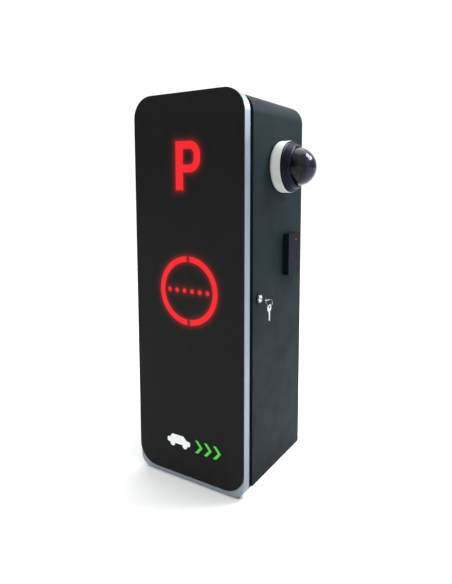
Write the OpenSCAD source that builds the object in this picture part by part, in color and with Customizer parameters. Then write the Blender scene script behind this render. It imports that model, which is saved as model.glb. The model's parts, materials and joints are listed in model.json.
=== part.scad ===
// Free-standing parking control pillar: a sheet steel cabinet with a lit, hinged front door.
// Its right side wall carries a dome camera, a card reader and a cam lock with its keys.
// The origin is the centre of the floor anchor pattern, on the floor. The door faces -Y.

/* [Cabinet] */
// Width over the side walls
cabinet_w = 298; // [270:1:380]
// Depth from the front edge to the back face
cabinet_d = 282; // [250:1:360]
// Height over the top
cabinet_h = 999; // [940:1:1300]
// Outer radius of the two top edges
cabinet_r = 50; // [20:1:70]
// Thickness of the sheet steel
sheet_t = 2; // [1.5:0.1:3]
// Width of the flange that the back panel is screwed to
rear_flange_w = 16; // [14:1:24]

/* [Floor plate] */
// Thickness of the floor plate
base_t = 3; // [3:0.5:6]
// How far the plate's front edge stays behind the door's face
base_setback = 8; // [6:1:40]
// Anchor pattern, left to right
anchor_x = 200; // [140:1:230]
// Anchor pattern, front to back
anchor_y = 180; // [120:1:200]
// Anchor hole
anchor_hole_d = 12; // [8:0.5:16]
// Hole for the incoming cables
cable_hole_d = 60; // [40:1:80]
// Bore of the rubber grommet in that hole
grommet_bore_d = 44; // [24:1:50]

/* [Neck] */
// Depth of the dark neck between the door and the cabinet
neck_d = 44.5; // [36:0.5:60]
// How far the neck stands in from the cabinet's sides
neck_inset = 6; // [4:0.5:10]
// Width of the lip that carries the seal
neck_lip_w = 8; // [6:0.5:10]
// Space between the door's frame and the neck's lip
neck_gap = 3; // [2:0.5:6]

/* [Door] */
// How far the door stands out past each side of the cabinet
door_overhang = 16.5; // [14:0.5:24]
// How far the door stands up above the cabinet's top
door_rise = 1; // [0:0.5:10]
// Running gap between the floor plate and the door
door_floor_gap = 1; // [1:0.5:6]
// Depth of the door's metal frame
door_frame_d = 24; // [22:0.5:40]
// Wall of the door's metal frame
door_wall = 3; // [2:0.5:4]
// Width of the frame's front and rear flanges
door_flange_w = 14; // [12:0.5:20]
// Radius of the door's top corners
door_top_r = 55; // [30:1:80]
// Radius of the metal frame's bottom corners
door_bottom_r = 31; // [20:1:60]
// Thickness of the face panel
panel_t = 4; // [3:0.5:6]
// Height of bare frame below the face panel
panel_rise = 11.8; // [0:0.1:20]
// Thickness of the door's back cover
cover_t = 1.5; // [1:0.1:3]

/* [Lit symbols] */
// Sideways place of the symbols on the panel
symbol_x = 3.5; // [-10:0.5:10]
// Height of the letter's foot above the floor
letter_z = 764; // [700:1:800]
// Letter height
letter_h = 119; // [80:1:140]
// Letter width
letter_w = 74; // [50:1:90]
// Width of the letter's stem
letter_stem = 22.5; // [14:0.5:26]
// Width of the letter's bowl strokes
letter_stroke = 19; // [12:0.5:22]
// Height of the split ring's centre
ring_z = 511.5; // [450:1:600]
// Outer diameter of the split ring
ring_d = 176; // [140:1:200]
// Width of the ring's stroke
ring_stroke = 14; // [8:0.5:18]
// Gap between the ring's two halves
ring_gap = 9.5; // [6:0.5:14]
// Diameter of each dot
dot_d = 11; // [6:0.5:14]
// Number of dots
dot_count = 6; // [2:2:6]
// Distance between dots
dot_pitch = 23.4; // [18:0.1:24]
// Gap all round each lens in the face panel
lens_gap = 0.15; // [0.1:0.05:0.5]

/* [Door hinges] */
// Number of hinges
hinge_count = 3; // [2:1:4]
// Height of one hinge
hinge_h = 60; // [40:1:100]
// Diameter of the hinge knuckles
knuckle_d = 8; // [7:0.5:10]
// Diameter of the hinge pins
hinge_pin_d = 4; // [3:0.5:5]
// Distance of the pin's axis from the door's edge and rear face
hinge_offset = 6; // [6:0.5:8]

/* [Lock] */
// Place of the lock behind the cabinet's front edge
lock_back = 31; // [28:1:60]
// Height of the lock
lock_z = 490; // [440:1:560]
// Diameter of the plug
plug_d = 18.7; // [14:0.1:22]
// Diameter of the barrel's body
barrel_d = 22; // [20:0.5:26]
// Diameter of the black rosette
rosette_d = 30; // [27:0.5:36]
// Length of the barrel inside the wall
barrel_len = 28; // [24:1:40]
// Length of the cam from the axis to its tip
cam_len = 45; // [40:1:55]
// Width of the cam
cam_w = 12; // [11:0.5:16]

/* [Camera] */
// Place of the camera's axis in front of or behind the anchor centre
camera_y = 3; // [-40:1:20]
// Depth of the camera's axis below the cabinet's top
camera_drop = 175; // [140:1:220]
// Diameter of the camera's base
camera_d = 135; // [126:1:150]
// Depth of the base
camera_base_h = 32; // [30:1:45]
// Depth of the trim ring
camera_trim_h = 22; // [18:1:30]
// Outer radius of the clear bubble
bubble_r = 50; // [48:0.5:56]
// How far the lens is turned from straight out towards the front
camera_tilt = 52; // [0:1:70]

/* [Card reader] */
// Width of the reader
reader_w = 74; // [60:1:86]
// Height of the reader
reader_h = 115; // [100:1:140]
// Depth of the reader
reader_d = 18; // [16:1:30]
// Place of the reader's front edge
reader_y = 24; // [0:1:40]
// Height of the reader's lower edge
reader_z = 530; // [400:1:600]

/* [Equipment] */
// Width of the mounting plate
plate_w = 236; // [200:1:250]
// Height of the mounting plate
plate_h = 690; // [640:1:800]
// Height of its lower edge above the floor
plate_z = 120; // [80:1:200]
// Space behind the mounting plate
plate_space = 16; // [10:1:30]

/* [Hidden] */
$fn = 64;
e = 0.01;                       // overshoot of a cut past the face that it opens

// Colours
shell_grey = "#3a4443";
frame_silver = "#a9b2bd";
gloss_black = "#1e1e1e";
lamp_red = "#ff2a2e";
white_plastic = "#d8dad4";
black_plastic = "#1c1d20";
zinc = "#8f918c";
board_green = "#1f5b3a";

// Planes of the stack from the back panel to the face, along Y
y_back = cabinet_d/2;
y_front = -cabinet_d/2;
y_flange = y_back - 2*sheet_t;                    // front face of the rear flange
y_frame_back = y_front - neck_d;
y_frame_front = y_frame_back - door_frame_d;
y_face = y_frame_front - panel_t;
y_cover_front = y_frame_back - cover_t;           // the back cover's rear is flush with the frame's
y_neck_front = y_frame_back + neck_gap;
y_plate_back = y_back - sheet_t - plate_space;
y_plate = y_plate_back - sheet_t;                 // front face of the mounting plate

// Outlines seen from the front
x_side = cabinet_w/2;
door_w = cabinet_w + 2*door_overhang;
door_top = cabinet_h + door_rise;
x_neck = x_side - neck_inset;
neck_top = cabinet_h - neck_inset;
neck_r = cabinet_r - neck_inset;
z_door = base_t + door_floor_gap;
z_panel = z_door + panel_rise;
door_gap = 0.3;                                   // door cover to seal
fit = 0.2;                                        // easy fit between parts of one body
press = 0.01;                                     // radial gap of a pressed or threaded fit
running = 0.05;                                   // radial gap of a turning fit

// Fasteners
screw_d = 4;
screw_head_d = 8;
screw_head_h = 2.2;
cover_screw_z = 40;                               // height of the lowest pair
screw_inset = 7;                                  // from the door's edge to the cover's screws

// Floor plate
stud_d = 6;
stud_h = 22;
stud_x = -85;
stud_y = 60;
stud_nut_af = 10;
stud_nut_h = 5;
grommet_lip = 5;
grommet_lip_h = 3;

// Door lamps
flange_t = 2;                                     // flange behind each lens
lens_border = 8;
board_t = 1.6;
lamp_space = 4.5;                                 // lens flange to light board
led_w = 5;
led_h = 1.4;
y_flange_back = y_frame_front + flange_t;
y_board_front = y_flange_back + lamp_space;
letter_x = symbol_x - 35;
letter_counter_low = 61.5;                        // counter's foot above the letter's foot
letter_bowl_low = 43;                             // bowl's foot above the letter's foot
ring_r = ring_d/2;
ring_board_w = ring_d + 44;
letter_board_w = letter_w + 36;
letter_board_h = letter_h + 36;
board_hole_inset = 7;
light_standoff_d = 6;
print_t = 0.2;
print_w = 170;
print_z = 86;

// Hinges
hinge_x = -door_w/2 + hinge_offset;
hinge_y = y_frame_back + hinge_offset;
hinge_gap = 0.4;                                  // between knuckles
leaf_t = 2.5;
hinge_low = 120;
hinge_high = cabinet_h - 119;
function hinge_z(i) = hinge_low + i*(hinge_high - hinge_low)/(hinge_count - 1);

// Lock
lock_y = y_front + lock_back;
rosette_t = 2.5;
plug_proud = 4.5;
plug_tail = 2.8;                                  // plug past the barrel's inner end
cam_t = 3;
tenon_w = 8;
x_barrel_in = x_side - barrel_len;
x_plug_in = x_barrel_in - plug_tail;
x_plug_out = x_side + plug_proud;
nut_af = 28;
nut_t = 6;
cam_head_d = 12;
cam_head_h = 3.3;
strike_t = 3;
strike_gap = 1;                                   // locked cam to strike lip
strike_cam_gap = 3;                               // strike arm to cam, side to side
strike_low = 18;                                  // strike above the lock's axis
strike_h = 24;
x_strike = x_plug_in - cam_t - strike_cam_gap - strike_t;

// Keys
key_t = 1.6;
key_blade_w = 8;
key_blade_len = 20;
key_bow_w = 20;
key_bow_x = x_side + 11;
key_bow_len = 17;
key_hole_d = 7;
key_hole_edge = 6;                                // middle of the hole to the bow's end
key_hole_x = key_bow_x + key_bow_len - key_hole_edge;
ring_wire_d = 1.4;
ring_wire_r = 9;                                  // radius of the ring's wire centre
ring_seat = 0.9;                                  // middle of the hole to the wire that passes it
ring_reach = 6.5;                                 // that wire to the ring's centre, sideways
ring_drop = sqrt(pow(ring_wire_r, 2) - pow(ring_reach, 2));
ring_x = key_hole_x + ring_seat + ring_reach;
split_ring_z = lock_z - ring_drop;
spare_gap = 0.3;
spare_z = split_ring_z - ring_wire_r + ring_wire_d/2 + spare_gap - key_hole_d/2;

// Camera
camera_z = cabinet_h - camera_drop;
camera_r = camera_d/2;
gasket_t = 1;
gasket_w = 16;
x_camera = x_side + gasket_t;
x_trim = x_side + camera_base_h;
camera_wall = 3;
camera_round = 8;
bubble_t = 2.5;
x_bubble = x_trim + camera_trim_h - 4;            // centre of the bubble's dome
bubble_flange = 6;
bubble_flange_t = 2;
camera_screw_r = 45;
post_r = 9;
turntable_r = 40;
turntable_t = 4;
x_turntable = x_camera + 16;
x_eye = x_bubble - 4;                             // the eyeball's centre
eye_r = 21;
cheek_t = 2.5;
cheek_gap = 1;
cheek_w = 18;
pivot_d = 5;
barrel_r = 11;
lens_barrel_len = 30;
lens_glass_r = 8;

// Card reader
reader_plate_t = 2;
reader_wall = 2;
reader_r = 6;
reader_light_d = 4;
reader_light_y = reader_y + reader_w*0.62;
reader_light_z = reader_z + reader_h - 18;
reader_hole_d = 14;
reader_mid_y = reader_y + reader_w/2;
reader_mid_z = reader_z + reader_h/2;
reader_screw_gap = 35;                            // screws above and below the middle

// Equipment
standoff_d = 10;
standoff_inset = 18;
duct_w = 25;
duct_d = 40;
duct_t = 1.5;
duct_slot_w = 5;
duct_slot_pitch = 20;
x_duct = -plate_w/2 + 6;
x_equipment = x_duct + duct_w + 10;               // left edge of the equipment
rail_h = 35;
rail_d = 7.5;
rail_t = 1;
rail_len = 170;
rail_z = plate_z + 290;
psu_w = 98;
psu_h = 160;
psu_d = 38;
psu_z = rail_z + 100;
breaker_w = 18;
breaker_h = 84;
breaker_d = 60;
breaker_x = x_equipment + 14;
breaker_clip = 3;
breaker_y = y_plate - rail_d - breaker_d;         // its front face
toggle_d = 11;
toggle_w = 10;
toggle_len = 18;
toggle_angle = 35;
toggle_pin_d = 3;
toggle_y = breaker_y + 5;
block_w = 6;
block_h = 50;
block_d = 42;
block_count = 12;
block_x = breaker_x + breaker_w + 14;
pcb_w = 150;
pcb_h = 110;
pcb_z = plate_z + 60;
pcb_space = 10;
pcb_hole_inset = 6;
switch_w = 130;
switch_d = 34;
switch_h = 80;
switch_z = psu_z + psu_h + 40;

// ---- Helpers ----

// A 2D shape drawn in X and Z, made solid between two places along Y
module along_y(y0, y1) {
    translate([0, y1, 0]) rotate([90, 0, 0]) linear_extrude(y1 - y0) children();
}

// A 2D shape drawn in Y and Z, made solid between two places along X
module along_x(x0, x1) {
    translate([x0, 0, 0]) rotate([90, 0, 90]) linear_extrude(x1 - x0) children();
}

// A cylinder along X
module rod_x(x0, x1, d) {
    translate([x0, 0, 0]) rotate([0, 90, 0]) cylinder(d = d, h = x1 - x0);
}

// A cylinder along Y
module rod_y(y0, y1, d) {
    translate([0, y1, 0]) rotate([90, 0, 0]) cylinder(d = d, h = y1 - y0);
}

// A profile of radius and X place turned about an axis along X
module turn_x() {
    rotate([0, 90, 0]) rotate_extrude() children();
}

// Upright outline with its own top and bottom corner radii
module upright(half_w, z0, z1, r_top, r_bottom = 0) {
    translate([-half_w, z0 + r_bottom]) square([2*half_w, z1 - z0 - r_top - r_bottom]);
    translate([-half_w + r_top, z1 - r_top - e]) square([2*(half_w - r_top), r_top + e]);
    for (side = [-1, 1]) translate([side*(half_w - r_top), z1 - r_top]) circle(r_top);
    if (r_bottom > 0) {
        translate([-half_w + r_bottom, z0]) square([2*(half_w - r_bottom), r_bottom + e]);
        for (side = [-1, 1]) translate([side*(half_w - r_bottom), z0 + r_bottom]) circle(r_bottom);
    }
}

// The face panel's outline, drawn in by a distance
module panel_outline(inset = 0) {
    upright(door_w/2 - inset, z_panel + inset, door_top - inset, door_top_r - inset,
            door_top_r - inset);
}

// Rectangle with rounded corners, from its lower left corner
module rounded(w, h, r) {
    translate([r, 0]) square([w - 2*r, h]);
    translate([0, r]) square([w, h - 2*r]);
    for (x = [r, w - r], z = [r, h - r]) translate([x, z]) circle(r);
}

// The cabinet's outline, drawn in by a distance
module cabinet_outline(inset = 0) {
    upright(x_side - inset, 0, cabinet_h - inset, cabinet_r - inset);
}

// The neck's outline, drawn in by a distance, standing on the floor plate
module neck_outline(inset = 0) {
    upright(x_neck - inset, base_t + inset, neck_top - inset, neck_r - inset);
}

// The door frame's outline, drawn in by a distance
module door_outline(inset = 0) {
    upright(door_w/2 - inset, z_door + inset, door_top - inset, door_top_r - inset,
            door_bottom_r - inset);
}

// Places of the screws round the back panel
module back_screw_places() {
    for (side = [-1, 1], i = [0:3])
        translate([side*(x_side - sheet_t - rear_flange_w/2), 0, 60 + i*(cabinet_h - 170)/3])
            children();
}

// Places of the screws round the door's back cover
module cover_screw_places() {
    for (side = [-1, 1], i = [0:3])
        translate([side*(door_w/2 - screw_inset), 0, cover_screw_z + i*(door_top - 3*cover_screw_z)/3])
            children();
}

// Corners of a rectangle centred at a place on the door or the mounting plate
module corners(x, z, w, h) {
    for (i = [-1, 1], k = [-1, 1]) translate([x + i*w/2, 0, z + k*h/2]) children();
}

// Round-headed screw along Y, its head's seat at the origin and its shank towards -Y
module screw_back(len) {
    rod_y(0, screw_head_h, screw_head_d);
    rod_y(-len, e, screw_d);
}

// ---- Cabinet ----

module base_plate() {
    half = x_side - sheet_t - fit/2;
    front = y_face + base_setback;
    color(zinc) difference() {
        translate([-half, front, 0]) cube([2*half, y_back - sheet_t - fit - front, base_t]);
        for (i = [-1, 1], k = [-1, 1])
            translate([i*anchor_x/2, k*anchor_y/2, -e]) cylinder(d = anchor_hole_d, h = base_t + 2*e);
        translate([0, 0, -e]) cylinder(d = cable_hole_d, h = base_t + 2*e);
        translate([stud_x, stud_y, -e]) cylinder(d = stud_d + 2*press, h = base_t + 2*e);
    }
}

module cable_grommet() {
    color("#222222") difference() {
        union() {
            cylinder(d = cable_hole_d - 2*press, h = base_t + e);
            translate([0, 0, base_t]) cylinder(d = cable_hole_d + 2*grommet_lip, h = grommet_lip_h);
        }
        translate([0, 0, -e]) cylinder(d = grommet_bore_d, h = base_t + grommet_lip_h + 2*e);
    }
}

module earth_stud() {
    color("#c9a75a") translate([stud_x, stud_y, 0]) {
        cylinder(d = stud_d, h = stud_h);
        translate([0, 0, base_t]) cylinder(d = 2*stud_d, h = 1);
        translate([0, 0, base_t + 1]) cylinder(d = stud_nut_af/cos(30), h = stud_nut_h, $fn = 6);
    }
}

module cabinet_shell() {
    color(shell_grey) difference() {
        union() {
            along_y(y_front, y_back - sheet_t) difference() {
                cabinet_outline();
                cabinet_outline(sheet_t);
                translate([-x_side + sheet_t, -e]) square([cabinet_w - 2*sheet_t, cabinet_h/2]);
            }
            along_y(y_flange, y_back - sheet_t) difference() {
                cabinet_outline(sheet_t - e);
                cabinet_outline(sheet_t + rear_flange_w);
                translate([-cabinet_w/2, -e]) square([cabinet_w, base_t + e]);
            }
            along_y(y_front, y_front + sheet_t) difference() {
                cabinet_outline(sheet_t - e);
                neck_outline(neck_lip_w);
                translate([-cabinet_w/2, -e]) square([cabinet_w, base_t + e]);
            }
        }
        translate([0, lock_y, lock_z]) rod_x(x_side - 2*sheet_t, x_side + e, barrel_d + 2*fit);
        translate([0, camera_y, camera_z]) {
            rod_x(x_side - 2*sheet_t, x_side + e, 2*post_r);
            for (a = [90, 210, 330]) rotate([a, 0, 0]) translate([0, 0, camera_screw_r])
                rod_x(x_side - 2*sheet_t, x_side + e, screw_d + 2*press);
        }
        translate([0, reader_mid_y, reader_mid_z]) {
            rod_x(x_side - 2*sheet_t, x_side + e, reader_hole_d);
            for (k = [-1, 1]) translate([0, 0, k*reader_screw_gap])
                rod_x(x_side - 2*sheet_t, x_side + e, screw_d + 2*press);
        }
        back_screw_places() rod_y(y_flange - e, y_back, screw_d + 2*press);
    }
}

module back_panel() {
    color(shell_grey) difference() {
        along_y(y_back - sheet_t, y_back) cabinet_outline();
        back_screw_places() rod_y(y_back - sheet_t - e, y_back + e, screw_d + fit);
    }
}

module back_panel_screws() {
    color("#9a9a98") back_screw_places() translate([0, y_back, 0]) screw_back(2*sheet_t + 4);
}

module neck_frame() {
    color("#0b0c0d") {
        along_y(y_neck_front, y_front) difference() {
            neck_outline();
            neck_outline(sheet_t);
        }
        along_y(y_neck_front, y_neck_front + sheet_t) difference() {
            neck_outline();
            neck_outline(neck_lip_w);
        }
    }
}

module door_seal() {
    color("#101010") along_y(y_frame_back + door_gap, y_neck_front) difference() {
        neck_outline(0.5);
        neck_outline(neck_lip_w - 0.5);
    }
}

module knuckle(z0, z1, bore) {
    translate([hinge_x, hinge_y, z0]) difference() {
        cylinder(d = knuckle_d, h = z1 - z0);
        translate([0, 0, -e]) cylinder(d = bore, h = z1 - z0 + 2*e);
    }
}

// The pinned part of a hinge takes its middle third, the fixed part the rest
module hinge_cabinet_leaves() {
    split = hinge_h/6 + hinge_gap/2;
    bore = hinge_pin_d + 2*press;
    web_y = hinge_y + knuckle_d/2 - leaf_t;
    color("#2b2d2e") for (i = [0:hinge_count - 1]) translate([0, 0, hinge_z(i)]) {
        for (z = [-hinge_h/2, split]) {
            knuckle(z, z + hinge_h/2 - split, bore);
            translate([0, 0, z]) difference() {
                translate([hinge_x, web_y, 0])
                    cube([-x_neck - hinge_x, leaf_t, hinge_h/2 - split]);
                translate([hinge_x, hinge_y, -e]) cylinder(d = bore, h = hinge_h);
            }
        }
        translate([-x_neck - leaf_t, web_y, -hinge_h/2]) cube([leaf_t, 22, hinge_h]);
    }
}

module hinge_pins() {
    color("#b5b8ba") for (i = [0:hinge_count - 1])
        translate([hinge_x, hinge_y, hinge_z(i) - hinge_h/2]) {
            cylinder(d = hinge_pin_d, h = hinge_h + 1);
            translate([0, 0, hinge_h]) cylinder(d = hinge_pin_d + 2.4, h = 2);
        }
}

// ---- Equipment inside the cabinet ----

module mounting_plate() {
    color("#b9bcbb") difference() {
        translate([-plate_w/2, y_plate, plate_z]) cube([plate_w, sheet_t, plate_h]);
        corners(0, plate_z + plate_h/2, plate_w - 2*standoff_inset, plate_h - 2*standoff_inset)
            rod_y(y_plate - e, y_plate_back + e, screw_d + fit);
    }
}

module plate_standoffs() {
    color("#c4c4c0")
    corners(0, plate_z + plate_h/2, plate_w - 2*standoff_inset, plate_h - 2*standoff_inset) {
        rod_y(y_plate_back, y_back - sheet_t, standoff_d);
        rod_y(y_plate - e, y_plate_back + e, screw_d);
        rod_y(y_plate - screw_head_h, y_plate, screw_head_d);
    }
}

module wire_duct() {
    color("#8d9194") translate([x_duct, y_plate - duct_d, plate_z + 40]) difference() {
        cube([duct_w, duct_d, plate_h - 80]);
        translate([duct_t, duct_t, -e]) cube([duct_w - 2*duct_t, duct_d - 2*duct_t, plate_h]);
        for (z = [duct_slot_pitch:duct_slot_pitch:plate_h - 100])
            translate([-e, 6, z]) cube([duct_w + 2*e, duct_d - 14, duct_slot_w]);
    }
}

module din_rail() {
    color("#bfc3c4") translate([x_equipment, 0, rail_z]) {
        translate([0, y_plate - rail_t, -rail_h/2 + 4]) cube([rail_len, rail_t, rail_h - 8]);
        for (side = [-1, 1]) {
            translate([0, y_plate - rail_d, side*(rail_h/2 - 4) - rail_t/2])
                cube([rail_len, rail_d, rail_t]);
            translate([0, y_plate - rail_d, side*(rail_h/2 - 2.5) - 2.5]) cube([rail_len, rail_t, 5]);
        }
    }
}

module power_supply() {
    color("#a7abab") difference() {
        translate([x_equipment + 10, y_plate - psu_d, psu_z]) cube([psu_w, psu_d, psu_h]);
        translate([x_equipment + 10 + 4, y_plate - psu_d - e, psu_z - e]) cube([psu_w - 8, 22, 18]);
        for (x = [0:5], z = [0:6])
            translate([x_equipment + 26 + x*13, 0, psu_z + 40 + z*16])
                rod_y(y_plate - psu_d - e, y_plate - psu_d + 1.2, 6);
    }
    color("#1d3f2a") for (i = [0:6])
        translate([x_equipment + 10 + 8 + i*12, y_plate - psu_d + 4, psu_z + 1]) cube([10, 18, 12]);
}

module circuit_breaker() {
    color("#d9dbd8") difference() {
        union() {
            translate([breaker_x, breaker_y + 12, rail_z - breaker_h/2])
                cube([breaker_w, breaker_d - 12 + breaker_clip, breaker_h]);
            translate([breaker_x, breaker_y, rail_z - 22]) cube([breaker_w, 13, 44]);
        }
        translate([breaker_x - e, y_plate - rail_d, rail_z - rail_h/2 - fit])
            cube([breaker_w + 2*e, breaker_clip + 1, rail_h + 2*fit]);
        translate([breaker_x + (breaker_w - toggle_w)/2 - fit, breaker_y - e, rail_z - 14])
            cube([toggle_w + 2*fit, 11.5, 28]);
        translate([breaker_x, toggle_y, rail_z]) rod_x(2, breaker_w - 2, toggle_pin_d + 2*running);
        for (side = [-1, 1]) translate([breaker_x + breaker_w/2, 0, rail_z + side*32])
            rod_y(breaker_y + 11, breaker_y + 16, 6);
    }
}

module terminal_blocks() {
    color("#9ea3a2") for (i = [0:block_count - 1])
        translate([block_x + i*(block_w + 0.02), y_plate - rail_d - block_d, rail_z - block_h/2])
            difference() {
                cube([block_w, block_d + breaker_clip, block_h]);
                translate([-e, block_d, (block_h - rail_h)/2 - fit])
                    cube([block_w + 2*e, breaker_clip + 1, rail_h + 2*fit]);
                for (z = [6, block_h - 6]) translate([block_w/2, 0, z]) rod_y(-e, 8, 4);
                translate([-e, -e, 14]) cube([block_w + 2*e, 8, block_h - 28]);
            }
}

module control_board() {
    color(board_green) difference() {
        translate([x_equipment + 5, y_plate - pcb_space - board_t, pcb_z]) cube([pcb_w, board_t, pcb_h]);
        board_corner_places() rod_y(y_plate - pcb_space - board_t - e, y_plate, 3.4);
    }
}

module board_corner_places() {
    corners(x_equipment + 5 + pcb_w/2, pcb_z + pcb_h/2,
            pcb_w - 2*pcb_hole_inset, pcb_h - 2*pcb_hole_inset) children();
}

module board_standoffs() {
    color("#c8a64f") board_corner_places() {
        rod_y(y_plate - pcb_space, y_plate, 6);
        rod_y(y_plate - pcb_space - board_t - 2, y_plate - pcb_space + e, 3);
        rod_y(y_plate - pcb_space - board_t - 2, y_plate - pcb_space - board_t, 5.5);
    }
}

// One plain component standing on the control board
module on_board(x, z, w, d, h) {
    translate([x_equipment + 5 + x, y_plate - pcb_space - board_t - d, pcb_z + z]) cube([w, d, h]);
}

module board_parts() {
    color("#2a2c30") on_board(55, 45, 28, 3, 28);
    color("#b9bdc0") on_board(14, 2, 16, 14, 20);
    color("#b9bdc0") on_board(34, 2, 16, 14, 20);
    color("#2b6a44") for (i = [0:3]) on_board(62 + i*20, 2, 19, 12, 10);
    color("#2b6a44") for (i = [0:3]) on_board(18 + i*28, 97, 26, 12, 10);
    color("#1f4f96") for (i = [0:2]) on_board(96 + i*17, 60, 15, 16, 20);
    color("#30333a") for (i = [0:3])
        translate([x_equipment + 5 + 16 + i*9, 0, pcb_z + 80])
            rod_y(y_plate - pcb_space - board_t - 12, y_plate - pcb_space - board_t, 7);
}

module network_switch() {
    color("#3a4048") difference() {
        translate([x_equipment + 10, y_plate - switch_d, switch_z]) cube([switch_w, switch_d, switch_h]);
        for (i = [0:4]) translate([x_equipment + 20 + i*18, y_plate - switch_d + 8, switch_z - e])
            cube([13, 12, 10]);
    }
}

// ---- Dome camera on the right side wall ----

module camera_gasket() {
    color("#17181a") translate([x_side, camera_y, camera_z]) turn_x()
        translate([camera_r - 3 - gasket_w, 0]) square([gasket_w, gasket_t]);
}

// The base's profile, its back edge rounded
module camera_base_profile() {
    depth = camera_base_h - gasket_t;
    square([camera_r - camera_round, depth]);
    translate([0, camera_round]) square([camera_r, depth - camera_round]);
    translate([camera_r - camera_round, camera_round]) circle(camera_round);
}

module camera_base() {
    depth = camera_base_h - gasket_t;
    color(white_plastic) translate([x_camera, camera_y, camera_z]) difference() {
        union() {
            turn_x() difference() {
                intersection() {
                    camera_base_profile();
                    square([camera_r, depth]);
                }
                translate([-e, camera_wall])
                    square([camera_r - camera_wall + e - camera_round, depth]);
                translate([-e, camera_round]) square([camera_r - camera_wall + e, depth]);
            }
            rod_x(0, x_turntable - x_camera + turntable_t + 2, 2*post_r);
        }
        rod_x(-e, depth, 2*post_r - 6);
        for (a = [90, 210, 330]) rotate([a, 0, 0]) translate([0, 0, camera_screw_r])
            rod_x(-e, camera_wall + e, screw_d + fit);
    }
}

module camera_screws() {
    color("#b8b8b4") translate([x_camera, camera_y, camera_z])
        for (a = [90, 210, 330]) rotate([a, 0, 0]) translate([0, 0, camera_screw_r]) {
            rod_x(camera_wall, camera_wall + screw_head_h, screw_head_d);
            rod_x(-gasket_t - sheet_t - 3, camera_wall + e, screw_d);
        }
}

// Stepped ring that narrows from the base to the bubble
module camera_trim() {
    lip = bubble_r + fit;
    pocket = bubble_r + bubble_flange + fit;
    color("#15161a") translate([x_trim, camera_y, camera_z]) turn_x() difference() {
        polygon([[lip, 0], [camera_r - 0.8, 0], [camera_r - 0.8, 4], [camera_r - 4, 9],
                 [camera_r - 6, 12], [lip + 6.5, camera_trim_h - 4], [lip + 5, camera_trim_h - 1.5],
                 [lip + 3.5, camera_trim_h], [lip, camera_trim_h]]);
        translate([0, -e]) square([pocket, 4 + bubble_flange_t + e]);
    }
}

module camera_bubble() {
    inner = bubble_r - bubble_t;
    flange_x = 4;                                 // flange behind the trim's lip
    skirt = x_bubble - x_trim - flange_x;
    color("#2c2f3a") translate([x_trim + flange_x, camera_y, camera_z]) turn_x() difference() {
        union() {
            square([bubble_r, skirt]);
            square([bubble_r + bubble_flange, bubble_flange_t]);
            translate([0, skirt]) intersection() {
                circle(bubble_r);
                translate([0, -e]) square(bubble_r + e);
            }
        }
        translate([-e, -e]) square([inner + e, skirt + e]);
        translate([0, skirt]) circle(inner);
    }
}

module camera_turntable() {
    color("#2a2b2e") translate([x_turntable, camera_y, camera_z]) {
        difference() {
            rod_x(0, turntable_t, 2*turntable_r);
            rod_x(-e, turntable_t + e, 2*post_r + 2*running);
        }
        for (side = [-1, 1]) difference() {
            union() {
                translate([turntable_t - e, -cheek_w/2,
                           side*(eye_r + cheek_gap + cheek_t/2) - cheek_t/2])
                    cube([x_eye - x_turntable - turntable_t, cheek_w, cheek_t]);
                translate([x_eye - x_turntable, 0, side*(eye_r + cheek_gap + cheek_t/2) - cheek_t/2])
                    cylinder(d = cheek_w, h = cheek_t);
            }
            translate([x_eye - x_turntable, 0, side*(eye_r + cheek_gap + cheek_t/2) - cheek_t])
                cylinder(d = pivot_d + 2*running, h = 2*cheek_t);
        }
    }
}

module eye_place() {
    translate([x_eye, camera_y, camera_z]) rotate([0, 0, -camera_tilt]) children();
}

module camera_eyeball() {
    color("#1b1c1f") eye_place() difference() {
        union() {
            sphere(eye_r);
            rod_x(0, lens_barrel_len, 2*barrel_r);
            translate([0, 0, -eye_r - cheek_gap - cheek_t]) cylinder(d = pivot_d,
                h = 2*(eye_r + cheek_gap + cheek_t));
        }
        rod_x(lens_barrel_len - 6, lens_barrel_len + e, 2*lens_glass_r + 2*press);
    }
}

module camera_lens() {
    color("#0a1420") eye_place() difference() {
        rod_x(lens_barrel_len - 6, lens_barrel_len - 1, 2*lens_glass_r);
        translate([lens_barrel_len + 13, 0, 0]) sphere(15.5);
    }
}

// ---- Card reader on the right side wall ----

module reader_outline(inset = 0) {
    translate([reader_y + inset, reader_z + inset])
        rounded(reader_w - 2*inset, reader_h - 2*inset, reader_r - inset);
}

module reader_back_plate() {
    color(black_plastic) difference() {
        along_x(x_side, x_side + reader_plate_t) reader_outline(reader_wall + fit);
        translate([0, reader_mid_y, reader_mid_z]) {
            rod_x(x_side - e, x_side + reader_plate_t + e, reader_hole_d);
            for (k = [-1, 1]) translate([0, 0, k*reader_screw_gap])
                rod_x(x_side - e, x_side + reader_plate_t + e, screw_d + fit);
        }
    }
}

module reader_screws() {
    color("#b8b8b4") translate([x_side + reader_plate_t, reader_mid_y, reader_mid_z])
        for (k = [-1, 1]) translate([0, 0, k*reader_screw_gap]) {
            rod_x(0, screw_head_h, screw_head_d);
            rod_x(-reader_plate_t - sheet_t - 4, e, screw_d);
        }
}

module reader_case() {
    color(black_plastic) difference() {
        along_x(x_side, x_side + reader_d) reader_outline();
        along_x(x_side - e, x_side + reader_d - reader_wall) reader_outline(reader_wall);
        translate([0, reader_light_y, reader_light_z])
            rod_x(x_side, x_side + reader_d + e, reader_light_d + 2*press);
    }
}

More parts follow.
